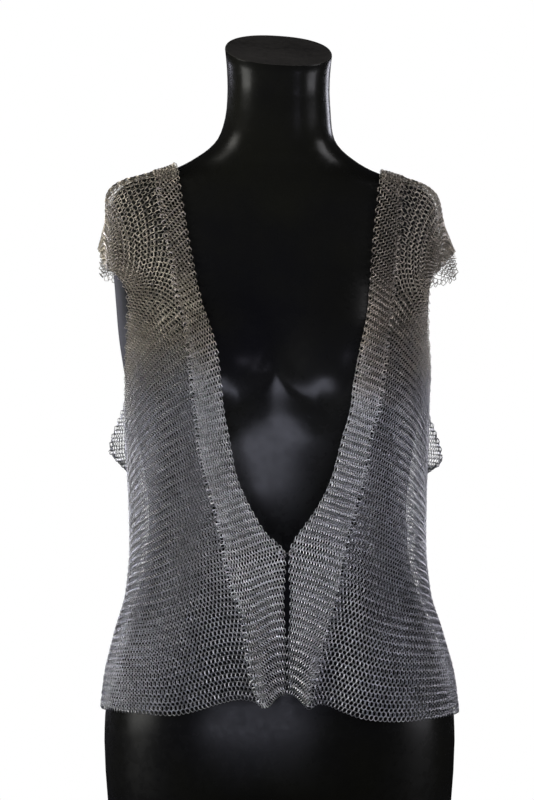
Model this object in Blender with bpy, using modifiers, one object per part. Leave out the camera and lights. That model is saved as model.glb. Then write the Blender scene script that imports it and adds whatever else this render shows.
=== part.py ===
"""Sleeveless mail vest, hooked at the front, on a headless and armless dress form.

Every piece is worked out from one shape: the form's level sections, joined smoothly with the
wider sections that the hanging mail keeps below the bust. A point of the mail is named by three
numbers. Its bearing is the angle round the body from straight ahead, negative on the wearer's
right. Its height is the level of the section. Its swing is zero in front, 90 degrees at the top
of the shoulder and 180 degrees behind, where the mail passes over the shoulder.
"""

import math

import bpy
import numpy as np
from mathutils import Vector

# Overall choices, in metres and degrees
WALL = 0.0030
LIFT = 0.0028
SEAM_GAP = 0.0005
SEAM_SWING = 0.2
YOKE_HEIGHT = 0.550
YOKE_BACK_SWING = 150.0
UNDERARM_HEIGHT = 0.3755
SIDE_BEARING = 90.0
BEHIND = 180.0
USUAL_RADIUS = 0.125
NEAR_HEM = 0.150
BODY_CENTRE = (0.0, 0.0, 0.40)

# Ranges and steps of the two searches by halving
RAY_NEAR, RAY_FAR, RAY_HALVINGS = 0.02, 0.26, 26
SEARCH_BEARING, BEARING_HALVINGS = 80.0, 22

# How finely each piece is divided
FORM_COLUMNS, FORM_ROW_LIMIT = 48, 0.030
FRONT_COLUMNS = 10
FAN_ROWS, SHOULDER_COLUMNS = 24, 8
BAND_COLUMNS = 3
BACK_YOKE_ROWS, BACK_NECK_COLUMNS = 4, 8
BACK_SHARED_COLUMNS = 4

# Level sections of the form, from the base to the cut of the neck
SECTION_COLUMNS = ("height", "centre_x", "half_width", "front", "back")
FORM_SECTIONS = (
    (0.0000, 0.0010, 0.1660, 0.0880, 0.1060),
    (0.0500, 0.0010, 0.1715, 0.0920, 0.1120),
    (0.1100, 0.0010, 0.1750, 0.0950, 0.1140),
    (0.1350, 0.0010, 0.1743, 0.0960, 0.1110),
    (0.1700, 0.0008, 0.1695, 0.0960, 0.1030),
    (0.2180, 0.0000, 0.1545, 0.0930, 0.0880),
    (0.2590, -0.0005, 0.1390, 0.0880, 0.0780),
    (0.3000, -0.0008, 0.1300, 0.0830, 0.0740),
    (0.3400, -0.0010, 0.1285, 0.0810, 0.0780),
    (0.3850, -0.0015, 0.1335, 0.0860, 0.0880),
    (0.4300, -0.0022, 0.1415, 0.0950, 0.0980),
    (0.4750, -0.0035, 0.1500, 0.1020, 0.1040),
    (0.5200, -0.0060, 0.1542, 0.0990, 0.1050),
    (0.5600, -0.0064, 0.1572, 0.0910, 0.1020),
    (0.6000, -0.0050, 0.1620, 0.0810, 0.0960),
    (0.6200, -0.0045, 0.1635, 0.0760, 0.0920),
    (0.6350, -0.0045, 0.1630, 0.0720, 0.0890),
    (0.6480, -0.0045, 0.1608, 0.0690, 0.0860),
    (0.6580, -0.0045, 0.1548, 0.0660, 0.0830),
    (0.6645, -0.0045, 0.1448, 0.0640, 0.0810),
    (0.6703, -0.0045, 0.1280, 0.0620, 0.0790),
    (0.6765, -0.0045, 0.1065, 0.0600, 0.0760),
    (0.6830, -0.0043, 0.0915, 0.0580, 0.0740),
    (0.6905, -0.0038, 0.0790, 0.0570, 0.0710),
    (0.7000, -0.0030, 0.0665, 0.0550, 0.0680),
    (0.7100, -0.0022, 0.0585, 0.0540, 0.0650),
    (0.7220, -0.0012, 0.0545, 0.0530, 0.0630),
    (0.7400, 0.0000, 0.0520, 0.0520, 0.0610),
    (0.7600, 0.0000, 0.0510, 0.0510, 0.0600),
    (0.7800, 0.0000, 0.0517, 0.0515, 0.0600),
    (0.7980, 0.0000, 0.0535, 0.0520, 0.0600),
)
FORM_SQUARENESS = 2.3

# Level sections that the hanging mail keeps where the form is narrower
HANG_SECTIONS = (
    (0.0000, 0.0010, 0.1500, 0.0800, 0.1000),
    (0.1300, 0.0010, 0.1725, 0.1010, 0.1140),
    (0.1700, 0.0008, 0.1700, 0.1060, 0.1130),
    (0.2180, 0.0000, 0.1588, 0.1110, 0.1100),
    (0.2590, -0.0005, 0.1470, 0.1150, 0.1060),
    (0.3100, -0.0008, 0.1424, 0.1205, 0.1025),
    (0.3500, -0.0010, 0.1428, 0.1245, 0.1020),
    (0.3840, -0.0012, 0.1442, 0.1275, 0.1025),
    (0.4200, -0.0015, 0.1458, 0.1300, 0.1035),
    (0.4500, -0.0020, 0.1465, 0.1300, 0.1040),
    (0.4800, -0.0035, 0.1470, 0.1200, 0.1030),
    (0.5100, -0.0050, 0.1440, 0.1000, 0.0990),
    (0.5500, -0.0055, 0.1380, 0.0750, 0.0900),
    (0.6000, -0.0050, 0.1300, 0.0550, 0.0700),
    (0.8000, 0.0000, 0.0300, 0.0300, 0.0300),
)
HANG_SQUARENESS = 2.8
JOIN_SOFTNESS = 0.004

# The two swells of the chest
BUST_HEIGHT, BUST_X, BUST_DEPTH = 0.478, 0.073, 0.034
BUST_WIDE, BUST_UP, BUST_DOWN = 0.060, 0.078, 0.052

# The shoulders roll a little to one side, and the neck is cut off leaning forwards
SHOULDER_ROLL, NECK_ROLL, NECK_TILT = 0.013, 0.065, 0.38
ROLL_FROM, ROLL_TO = 0.50, 0.64
CUT_FROM, CUT_TO = 0.735, 0.798

# Edges of the two neck bands, as distances sideways in metres
BORDER_COLUMNS = ("height", "swing", "right_neck", "right_seam", "left_neck", "left_seam")
BORDERS = (
    (0.130, 0, 0.0078, -0.0120, 0.0078, 0.0260),
    (0.163, 0, 0.0078, -0.0202, 0.0078, 0.0305),
    (0.186, 0, 0.0078, -0.0279, 0.0078, 0.0358),
    (0.204, 0, 0.0078, -0.0300, 0.0078, 0.0405),
    (0.242, 0, 0.0078, -0.0355, 0.0078, 0.0515),
    (0.275, 0, 0.0078, -0.0470, 0.0080, 0.0590),
    (0.306, 0, 0.0070, -0.0530, 0.0092, 0.0640),
    (0.317, 0, -0.0077, -0.0552, 0.0145, 0.0664),
    (0.337, 0, -0.0211, -0.0596, 0.0292, 0.0715),
    (0.357, 0, -0.0318, -0.0650, 0.0415, 0.0772),
    (0.380, 0, -0.0406, -0.0718, 0.0510, 0.0832),
    (0.413, 0, -0.0466, -0.0776, 0.0592, 0.0874),
    (0.440, 0, -0.0520, -0.0797, 0.0672, 0.0958),
    (0.467, 0, -0.0547, -0.0840, 0.0705, 0.1000),
    (0.498, 0, -0.0585, -0.0865, 0.0765, 0.1040),
    (0.519, 0, -0.0653, -0.0890, 0.0812, 0.1068),
    (0.550, 0, -0.0750, -0.0985, 0.0862, 0.1106),
    (0.550, 20, -0.0820, -0.1030, 0.0893, 0.1145),
    (0.550, 40, -0.0880, -0.1085, 0.0920, 0.1165),
    (0.550, 60, -0.0950, -0.1165, 0.0965, 0.1185),
    (0.550, 75, -0.0995, -0.1205, 0.1000, 0.1215),
    (0.550, 90, -0.1040, -0.1235, 0.1035, 0.1235),
    (0.550, 105, -0.1035, -0.1230, 0.1030, 0.1230),
    (0.550, 120, -0.0990, -0.1190, 0.0990, 0.1190),
    (0.550, 150, -0.0850, -0.1060, 0.0850, 0.1070),
)
SLIT_HALF_WIDTH, SLIT_FOOT, SLIT_MIDDLE, SLIT_HEAD = 0.0026, 0.205, 0.252, 0.312

# Height of the hem in front, by distance sideways, and behind
HEM_FRONT = (
    (-0.176, 0.1432),
    (-0.134, 0.1438),
    (-0.103, 0.1432),
    (-0.078, 0.1486),
    (-0.059, 0.1547),
    (-0.035, 0.1598),
    (-0.017, 0.1560),
    (-0.012, 0.1505),
    (-0.005, 0.1575),
    (0.002, 0.1630),
    (0.011, 0.1628),
    (0.023, 0.1560),
    (0.028, 0.1505),
    (0.034, 0.1565),
    (0.056, 0.1500),
    (0.075, 0.1422),
    (0.113, 0.1370),
    (0.176, 0.1387),
)
HEM_BACK_DROP = 0.003

# Free edges round the armholes, as bearings in degrees
ARMHOLE_FRONT_COLUMNS = ("height", "right", "left")
ARMHOLE_FRONT = (
    (0.3755, -90.0, 90.0),
    (0.4000, -84.0, 88.0),
    (0.4250, -78.0, 86.0),
    (0.4500, -73.5, 83.5),
    (0.4760, -71.0, 81.5),
    (0.5050, -70.0, 80.0),
    (0.5350, -70.0, 79.0),
    (0.5500, -70.5, 79.0),
)
CAP_COLUMNS = ("swing", "right", "left")
CAP_EDGE = (
    (0, -70.5, 79.0),
    (15, -72.5, 79.0),
    (35, -76.0, 79.0),
    (60, -79.0, 79.0),
    (85, -80.0, 79.0),
    (105, -74.0, 74.0),
    (120, -70.0, 70.5),
    (150, -74.0, 74.5),
)
ARMHOLE_BACK_COLUMNS = ("height", "bearing")
ARMHOLE_BACK = (
    (0.3755, 90.0),
    (0.4000, 88.5),
    (0.4300, 84.0),
    (0.4640, 77.0),
    (0.5000, 68.0),
    (0.5500, 61.0),
)
BACK_NECK_DROP, YOKE_RADIUS = 0.020, 0.100

# How far the cap's brow, its rear corner and the corner under the arm stand out to the side
CAP_FROM, CAP_TO, CAP_FADE_FROM, CAP_FADE_TO = 46, 54, 56, 64
CAP_SWING_FROM, CAP_SWING_TO = 15, 70
WING_FROM, WING_TO, WING_SWING_FROM, WING_SWING_TO, WING_CURVE = 54, 74, 75, 142, 1.4
EAR_FROM, EAR_TO, EAR_SWING = 66, 88, 170
STAND_OFF_COLUMNS = ("side", "cap", "wing", "ear", "ear_height", "ear_head")
STAND_OFFS = (
    (-1, 0.0050, 0.0205, 0.0185, 0.3970, 0.470),
    (1, 0.0020, 0.0320, 0.0170, 0.3870, 0.462),
)

# Levels of the panels' rows: shares of the way from the hem to the underarm, then heights
LOWER_SHARES = (0, 0.11, 0.22, 0.34, 0.46, 0.57, 0.673, 0.715, 0.767, 0.833, 0.913, 1)
UPPER_LEVELS = (0.3870, 0.3970, 0.4120, 0.4300, 0.4500, 0.4750, 0.5000, 0.5250, 0.5500)

# Soft upright folds: where, how wide and deep, and between which heights they fade
FOLD_COLUMNS = ("swing", "bearing", "width", "depth", "foot", "head")
FOLDS = (
    (0, -7.0, 4.5, 0.0035, 0.170, 0.250),
    (0, 14.0, 4.5, 0.0035, 0.170, 0.250),
    (0, -34.0, 9.0, 0.0020, 0.190, 0.330),
    (0, 38.0, 9.0, 0.0020, 0.190, 0.330),
    (180, -38.0, 8.0, 0.0035, 0.240, 0.420),
    (180, 6.0, 9.0, 0.0030, 0.220, 0.400),
    (180, 44.0, 8.0, 0.0035, 0.250, 0.430),
)

# The hook and its two large rings at the top of the front slit
CLOSURE_X, CLOSURE_HEIGHT = 0.0078, 0.3035
RING_RADIUS, RING_WIRE = 0.0033, 0.0007
RING_SPREAD, RING_GAP = 0.0054, 0.0004
HOOK_WIRE, HOOK_REACH, HOOK_BEND_STEPS = 0.0006, 0.0024, 5

COLLECTION_NAME = "mail_vest_on_dress_form"


def step(low, high, at):
    """Smooth rise from 0 at low to 1 at high."""
    t = np.clip((at - low) / (high - low), 0, 1)
    return t * t * (3 - 2 * t)


def eased(xs, ys, at):
    """Curve through the points (xs, ys) that never overshoots them."""
    xs, ys = np.asarray(xs, float), np.asarray(ys, float)
    gap = np.diff(xs)
    rise = np.diff(ys) / gap
    slope = np.empty_like(ys)
    slope[0], slope[-1] = rise[0], rise[-1]
    near, far = 2 * gap[1:] + gap[:-1], gap[1:] + 2 * gap[:-1]
    same = rise[:-1] * rise[1:] > 0
    before, after = np.where(same, rise[:-1], 1), np.where(same, rise[1:], 1)
    slope[1:-1] = np.where(same, (near + far) / (near / before + far / after), 0)
    at = np.clip(at, xs[0], xs[-1])
    i = np.clip(np.searchsorted(xs, at) - 1, 0, len(gap) - 1)
    t = (at - xs[i]) / gap[i]
    return (
        ys[i] * (1 + 2 * t) * (1 - t) ** 2
        + slope[i] * gap[i] * t * (1 - t) ** 2
        + ys[i + 1] * t * t * (3 - 2 * t)
        + slope[i + 1] * gap[i] * t * t * (t - 1)
    )


def column(table, names, name, at):
    """One named column of a table, read at a value of its first column."""
    k = names.index(name)
    return eased([row[0] for row in table], [row[k] for row in table], at)


def section_radius(table, squareness, bearing, height):
    """Distance from the axis to a squared oval with its own depth in front and behind."""
    front = column(table, SECTION_COLUMNS, "front", height)
    back = column(table, SECTION_COLUMNS, "back", height)
    half_width = column(table, SECTION_COLUMNS, "half_width", height)
    across = np.abs(np.sin(bearing)) / half_width
    along = np.abs(np.cos(bearing)) / np.where(np.cos(bearing) > 0, front, back)
    return (across**squareness + along**squareness) ** (-1 / squareness)


def form_radius(bearing, height):
    """The form's section with the two swells of the chest laid on it."""
    plain = section_radius(FORM_SECTIONS, FORM_SQUARENESS, bearing, height)
    reach = np.where(height > BUST_HEIGHT, BUST_UP, BUST_DOWN)
    swell = 0
    for side in (-1, 1):
        across = (plain * np.sin(bearing) - side * BUST_X) / BUST_WIDE
        away = across**2 + ((height - BUST_HEIGHT) / reach) ** 2
        swell = swell + BUST_DEPTH * np.exp(-(away**1.5))
    return plain + np.where(np.cos(bearing) > 0, swell * np.cos(bearing), 0)


def base_radius(bearing, height):
    """The larger of the form and the hanging mail, with a soft change from one to the other."""
    form = form_radius(bearing, height)
    hang = section_radius(HANG_SECTIONS, HANG_SQUARENESS, bearing, height)
    return (form + hang + np.sqrt((form - hang) ** 2 + JOIN_SOFTNESS**2)) / 2


def centre_x(height):
    return column(FORM_SECTIONS, SECTION_COLUMNS, "centre_x", height)


def lean(x, y, height):
    """How far a point of a section stands above the section's own height."""
    cut = step(CUT_FROM, CUT_TO, height)
    roll = SHOULDER_ROLL * step(ROLL_FROM, ROLL_TO, height) * (1 - cut) + NECK_ROLL * cut
    return NECK_TILT * cut * y - roll * x


def leaned(points):
    x, y, height = points[..., 0], points[..., 1], points[..., 2]
    return np.stack([x, y, height + lean(x, y, height)], axis=-1)


def beyond(points):
    """Level distance of unleaned points outside the base shape."""
    x = points[..., 0] - centre_x(points[..., 2])
    y = points[..., 1]
    return np.hypot(x, y) - base_radius(np.arctan2(x, -y), points[..., 2])


def outward(points, reach=5e-4):
    """Unit normals of the base shape, from differences of its level distance."""
    slopes = [
        beyond(points + reach * axis) - beyond(points - reach * axis) for axis in np.eye(3)
    ]
    normal = np.stack(slopes, axis=-1)
    return normal / np.linalg.norm(normal, axis=-1, keepdims=True)


def on_base(bearing, height, swing):
    """Where the ray of a bearing, height and swing leaves the base shape, by halving."""
    bearing, swing = np.radians(bearing), np.radians(swing)
    bearing, height, swing = np.broadcast_arrays(bearing, height, swing)
    origin = np.stack([centre_x(height), np.zeros_like(height), height], axis=-1)
    direction = np.stack(
        [
            np.sin(bearing),
            -np.cos(bearing) * np.cos(swing),
            np.cos(bearing) * np.sin(swing),
        ],
        axis=-1,
    )
    near, far = np.full(height.shape, RAY_NEAR), np.full(height.shape, RAY_FAR)
    for _ in range(RAY_HALVINGS):
        middle = (near + far) / 2
        inside = beyond(origin + middle[..., None] * direction) < 0
        near, far = np.where(inside, middle, near), np.where(inside, far, middle)
    return origin + near[..., None] * direction


def hang_out(bearing, height, swing):
    """Sideways stand-off of the cap over the shoulder and of the corner under the arm."""
    away = np.abs(bearing)
    cap_share = 1 - step(YOKE_BACK_SWING, BEHIND, swing)
    cap = step(CAP_FROM, CAP_TO, away) * (1 - step(CAP_FADE_FROM, CAP_FADE_TO, away))
    cap = cap * step(CAP_SWING_FROM, CAP_SWING_TO, swing)
    wing = step(WING_FROM, WING_TO, away) ** WING_CURVE
    wing = wing * step(WING_SWING_FROM, WING_SWING_TO, swing)
    ear = step(EAR_FROM, EAR_TO, away) * step(EAR_SWING, BEHIND, swing)
    total = 0
    for row in STAND_OFFS:
        spot = dict(zip(STAND_OFF_COLUMNS, row))
        above = (height - UNDERARM_HEIGHT) / (spot["ear_height"] - UNDERARM_HEIGHT)
        fall = 1 - step(spot["ear_height"], spot["ear_head"], height)
        ear_share = ear * np.clip(above, 0, 1) * fall
        out = (spot["cap"] * cap + spot["wing"] * wing) * cap_share + spot["ear"] * ear_share
        total = total + (bearing * spot["side"] > 0) * spot["side"] * out
    return total


def fold_lift(bearing, height, swing):
    """Outward swell of the soft upright folds."""
    total = 0
    for row in FOLDS:
        fold = dict(zip(FOLD_COLUMNS, row))
        across = np.exp(-(((bearing - fold["bearing"]) / fold["width"]) ** 2))
        along = 1 - step(fold["foot"], fold["head"], height)
        total = total + (swing == fold["swing"]) * fold["depth"] * across * along
    return total


def mail_point(bearing, height, swing, lift=LIFT):
    """A point of the mail's middle surface, lifted off the base shape along its normal."""
    bearing, height, swing = np.broadcast_arrays(bearing, height, swing)
    base = on_base(bearing, height, swing)
    stand = lift + fold_lift(bearing, height, swing)
    point = leaned(base + stand[..., None] * outward(base))
    point[..., 0] += hang_out(bearing, height, swing)
    return point


def bearing_at(x, height, swing):
    """The bearing whose mail point lies at a given distance sideways, by halving."""
    low, high = np.full(np.shape(x), -SEARCH_BEARING), np.full(np.shape(x), SEARCH_BEARING)
    for _ in range(BEARING_HALVINGS):
        middle = (low + high) / 2
        short = mail_point(middle, height, swing)[..., 0] < x
        low, high = np.where(short, middle, low), np.where(short, high, middle)
    return (low + high) / 2


def seam_inset(height, swing):
    """Half the seam gap as an angle, at the usual distance from the axis."""
    return np.degrees(SEAM_GAP / 2 / USUAL_RADIUS) * np.ones_like(height + swing)


def border_bearing(name, height, swing):
    """Bearing of a band's edge along rows given by height and swing."""
    keys = [row[0] + math.radians(row[1]) for row in BORDERS]
    k = BORDER_COLUMNS.index(name)
    x = eased(keys, [row[k] for row in BORDERS], height + np.radians(swing))
    if name.endswith("neck"):
        side = 1 if name.startswith("left") else -1
        rise = step(SLIT_FOOT, SLIT_MIDDLE, height) * (1 - step(SLIT_MIDDLE, SLIT_HEAD, height))
        x = x + side * (SEAM_GAP / 2 + SLIT_HALF_WIDTH * rise)
    return bearing_at(x, height, swing)


def hem_height(bearing, swing):
    """Height of the hem at a bearing, in front where swing is 0 and behind where it is 180."""
    xs, heights = zip(*HEM_FRONT)
    x = mail_point(bearing, np.full(np.shape(bearing), NEAR_HEM), swing)[..., 0]
    front = eased(xs, heights, x)
    sides = np.interp(x, [xs[0], xs[-1]], [heights[0], heights[-1]])
    behind = sides - HEM_BACK_DROP * np.cos(np.radians(bearing)) ** 2
    return np.where(np.asarray(swing) > 90, behind, front)


def new_mesh(name, points, faces):
    mesh = bpy.data.meshes.new(name)
    mesh.from_pydata(points.tolist(), [], faces)
    mesh.update()
    return mesh


def grid_faces(rows, columns, closed=False):
    """Quads of a grid whose points run row by row, each row joined to itself if closed."""
    steps = columns if closed else columns - 1
    return [
        (
            j * columns + k,
            j * columns + (k + 1) % columns,
            (j + 1) * columns + (k + 1) % columns,
            (j + 1) * columns + k,
        )
        for j in range(rows - 1)
        for k in range(steps)
    ]


def material(name, colour, roughness, metallic):
    finish = bpy.data.materials.new(name)
    finish.use_nodes = True
    shader = finish.node_tree.nodes["Principled BSDF"]
    shader.inputs["Base Color"].default_value = (*colour, 1)
    shader.inputs["Roughness"].default_value = roughness
    shader.inputs["Metallic"].default_value = metallic
    return finish


def place(name, mesh, finish, collection):
    mesh.materials.append(finish)
    mesh.shade_smooth()
    obj = bpy.data.objects.new(name, mesh)
    collection.objects.link(obj)
    return obj


def add_wall(name, bearing, height, swing, finish, collection):
    """A panel of mail: the grid of its middle surface, thickened equally both ways."""
    points = mail_point(bearing, height, swing)
    rows, columns = points.shape[:2]
    mesh = new_mesh(name, points.reshape(-1, 3), grid_faces(rows, columns))
    middle = mesh.polygons[len(mesh.polygons) // 2]
    if np.dot(middle.normal, middle.center - Vector(BODY_CENTRE)) < 0:
        mesh.flip_normals()
    obj = place(name, mesh, finish, collection)
    thicken = obj.modifiers.new("wall", "SOLIDIFY")
    thicken.thickness = WALL
    thicken.offset = 0
    thicken.use_even_offset = False
    return obj


def rows_from_hem(hem):
    """Heights of the rows above a hem, one column for each hem height."""
    share = np.array(LOWER_SHARES)[:, None]
    lower = hem[None, :] + (UNDERARM_HEIGHT - hem[None, :]) * share
    upper = np.repeat(np.array(UPPER_LEVELS)[:, None], len(hem), axis=1)
    return np.concatenate([lower, upper])


def spread(inner, outer, columns):
    """Bearings from an inner edge to an outer one, row by row."""
    share = np.linspace(0, 1, columns + 1)[None, :]
    return inner[:, None] * (1 - share) + outer[:, None] * share


def front_rows(side):
    """Heights of the rows along the band seam of one side, shared by the band and the front."""
    foot = border_bearing(side + "_seam", np.array([NEAR_HEM]), np.array([0.0]))
    hem = hem_height(foot, 0.0)
    return rows_from_hem(hem)[:, 0]


def front_edge(side, height):
    """Outer edge of a front: the side seam, and above it the armhole."""
    sign = -1 if side == "right" else 1
    arm = column(ARMHOLE_FRONT, ARMHOLE_FRONT_COLUMNS, side, height)
    inset = seam_inset(height, 0.0) * (height < UNDERARM_HEIGHT + 0.001)
    return np.where(height < UNDERARM_HEIGHT, sign * SIDE_BEARING, arm) - sign * inset


def add_front(side, finish, collection):
    """Front of one side, from the hem to the yoke and from the band to the side seam."""
    sign = -1 if side == "right" else 1
    seam_heights = front_rows(side)
    flat = np.zeros_like(seam_heights)
    inner = border_bearing(side + "_seam", seam_heights, flat)
    inner = inner + sign * seam_inset(seam_heights, 0.0)
    foot = spread(inner[:1], front_edge(side, seam_heights[:1]), FRONT_COLUMNS)[0]
    hem = hem_height(foot, 0.0)
    hem[0] = seam_heights[0]
    hem[-1] = hem_height(np.array([sign * SIDE_BEARING]), 0.0)[0]
    height = rows_from_hem(hem)
    height[-1] -= SEAM_GAP / 2
    share = np.linspace(0, 1, FRONT_COLUMNS + 1)[None, :]
    edge = front_edge(side, height[:, -1])
    bearing = inner[:, None] * (1 - share) + edge[:, None] * share
    return add_wall("front_" + side, bearing, height, 0.0, finish, collection)


def add_band(side, finish, collection):
    """Neck band of one side, from the hem up the front and over the shoulder."""
    sign = -1 if side == "right" else 1
    seam_heights = front_rows(side)
    fan = np.linspace(0, YOKE_BACK_SWING - SEAM_SWING, FAN_ROWS + 1)[1:]
    height = np.concatenate([seam_heights, np.full(FAN_ROWS, YOKE_HEIGHT)])
    swing = np.concatenate([np.zeros_like(seam_heights), fan])
    neck = border_bearing(side + "_neck", height, swing)
    seam = border_bearing(side + "_seam", height, swing) - sign * seam_inset(height, swing)
    bearing = spread(neck, seam, BAND_COLUMNS)
    heights = np.repeat(height[:, None], BAND_COLUMNS + 1, axis=1)
    foot = hem_height(bearing[0], 0.0)
    foot[-1] = seam_heights[0]
    low = len(seam_heights)
    heights[:low] = rows_from_hem(foot)
    return add_wall("neck_band_" + side, bearing, heights, swing[:, None], finish, collection)


def shoulder_bearings(side, swing):
    """Bearings across a shoulder piece, from the band seam to its free outer edge."""
    sign = -1 if side == "right" else 1
    height = np.full_like(swing, YOKE_HEIGHT)
    inner = border_bearing(side + "_seam", height, swing) + sign * seam_inset(height, swing)
    return spread(inner, column(CAP_EDGE, CAP_COLUMNS, side, swing), SHOULDER_COLUMNS)


def add_shoulder(side, finish, collection):
    """Shoulder piece of one side, whose outer rear corner hangs free as a cap."""
    swing = np.linspace(0, YOKE_BACK_SWING, FAN_ROWS + 1)
    swing[0], swing[-1] = SEAM_SWING, YOKE_BACK_SWING - SEAM_SWING
    bearing = shoulder_bearings(side, swing)
    return add_wall("shoulder_" + side, bearing, YOKE_HEIGHT, swing[:, None], finish, collection)


def add_back(finish, collection):
    """The back, from the hem to the yoke seam and the neckline between the bands."""
    swing_top = np.array([YOKE_BACK_SWING])
    yoke = np.array([YOKE_HEIGHT])
    top = {}
    for side in ("right", "left"):
        shoulder = shoulder_bearings(side, swing_top)[0, : BACK_SHARED_COLUMNS + 1]
        neck = border_bearing(side + "_neck", yoke, swing_top)
        seam = border_bearing(side + "_seam", yoke, swing_top)
        top[side] = np.concatenate([spread(neck, seam, BAND_COLUMNS)[0, :-1], shoulder])
    between = np.linspace(top["right"][0], top["left"][0], BACK_NECK_COLUMNS + 1)[1:-1]
    crown = np.concatenate([top["right"][::-1], between, top["left"]])
    share = np.where(crown < 0, -crown / crown[0], crown / crown[-1])
    sides = hem_height(np.array([-SIDE_BEARING, SIDE_BEARING]), BEHIND)
    foot = share * (SIDE_BEARING - seam_inset(0.0, 0.0))
    hem = hem_height(foot, BEHIND)
    hem[0], hem[-1] = sides
    climb = rows_from_hem(hem)
    edge = column(ARMHOLE_BACK, ARMHOLE_BACK_COLUMNS, "bearing", climb[:, -1])
    edge = np.where(climb[:, -1] < UNDERARM_HEIGHT, SIDE_BEARING, edge) - seam_inset(0.0, 0.0)
    bearing = share[None, :] * edge[:, None]
    yoke_share = np.linspace(0, 1, BACK_YOKE_ROWS + 1)[1:, None]
    yoke_bearing = bearing[-1:] * (1 - yoke_share) + crown[None, :] * yoke_share
    neck_edge = top["left"][0]
    dip = math.degrees(BACK_NECK_DROP / YOKE_RADIUS)
    dip = dip * np.clip(1 - (crown / neck_edge) ** 2, 0, 1)
    crest = YOKE_BACK_SWING + SEAM_SWING + dip
    yoke_swing = BEHIND + (crest[None, :] - BEHIND) * yoke_share
    height = np.concatenate([climb, np.full(yoke_bearing.shape, YOKE_HEIGHT)])
    swing = np.concatenate([np.full(climb.shape, BEHIND), yoke_swing])
    bearing = np.concatenate([bearing, yoke_bearing])
    return add_wall("back_panel", bearing, height, swing, finish, collection)


def add_form(finish, collection):
    """The form: its sections stacked in rows, with a flat base and a flat cut at the neck."""
    heights = np.array([row[0] for row in FORM_SECTIONS])
    halves = (heights[:-1] + heights[1:]) / 2
    wide = np.diff(heights) > FORM_ROW_LIMIT
    heights = np.sort(np.concatenate([heights, halves[wide]]))
    bearing = np.linspace(-math.pi, math.pi, FORM_COLUMNS, endpoint=False)
    bearing, height = np.meshgrid(bearing, heights)
    radius = form_radius(bearing, height)
    x = centre_x(height) + radius * np.sin(bearing)
    points = leaned(np.stack([x, -radius * np.cos(bearing), height], axis=-1))
    rows = len(heights)
    faces = grid_faces(rows, FORM_COLUMNS, closed=True)
    faces.append(tuple(reversed(range(FORM_COLUMNS))))
    faces.append(tuple(range((rows - 1) * FORM_COLUMNS, rows * FORM_COLUMNS)))
    mesh = new_mesh("dress_form", points.reshape(-1, 3), faces)
    return place("dress_form", mesh, finish, collection)


def add_ring(name, centre, finish, collection):
    bpy.ops.mesh.primitive_torus_add(
        major_segments=16,
        minor_segments=6,
        major_radius=RING_RADIUS,
        minor_radius=RING_WIRE,
        location=centre,
        rotation=(math.pi / 2, 0, 0),
    )
    ring = bpy.context.object
    ring.name = name
    ring.data.materials.append(finish)
    ring.data.shade_smooth()
    for owner in ring.users_collection:
        owner.objects.unlink(ring)
    collection.objects.link(ring)


def add_closure(finish, collection):
    """Two large rings beside the slit and the bridge-shaped hook whose ends pass into them."""
    height = np.array([CLOSURE_HEIGHT])
    bearing = bearing_at(np.array([CLOSURE_X]), height, 0.0)
    seat = mail_point(bearing, height, 0.0)[0]
    ring_y = seat[1] - WALL / 2 - RING_GAP - RING_WIRE
    for side, sign in (("right", -1), ("left", 1)):
        centre = (seat[0] + sign * RING_SPREAD, ring_y, seat[2])
        add_ring("closure_ring_" + side, centre, finish, collection)
    leg = RING_SPREAD - (RING_RADIUS - RING_WIRE - HOOK_WIRE - RING_GAP)
    turn = np.linspace(0, math.pi, HOOK_BEND_STEPS * 2 + 1)
    bend_x = seat[0] - leg * np.cos(turn)
    bend_y = ring_y - HOOK_REACH * np.sin(turn)
    curve = bpy.data.curves.new("closure_hook", "CURVE")
    curve.dimensions = "3D"
    curve.bevel_depth = HOOK_WIRE
    curve.bevel_resolution = 2
    curve.use_fill_caps = True
    line = curve.splines.new("POLY")
    line.points.add(len(turn) - 1)
    for point, x, y in zip(line.points, bend_x, bend_y):
        point.co = (x, y, seat[2], 1)
    curve.materials.append(finish)
    collection.objects.link(bpy.data.objects.new("closure_hook", curve))


def main():
    for obj in list(bpy.data.objects):
        bpy.data.objects.remove(obj)
    collection = bpy.data.collections.new(COLLECTION_NAME)
    bpy.context.scene.collection.children.link(collection)
    black = material("satin_black", (0.008, 0.008, 0.010), 0.30, 0.0)
    steel = material("grey_steel_mail", (0.13, 0.13, 0.13), 0.35, 1.0)
    bright = material("bright_steel", (0.45, 0.44, 0.42), 0.28, 1.0)
    add_form(black, collection)
    for side in ("right", "left"):
        add_front(side, steel, collection)
        add_band(side, steel, collection)
        add_shoulder(side, steel, collection)
    add_back(steel, collection)
    add_closure(bright, collection)


main()
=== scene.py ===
import math
from functools import partial

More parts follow.
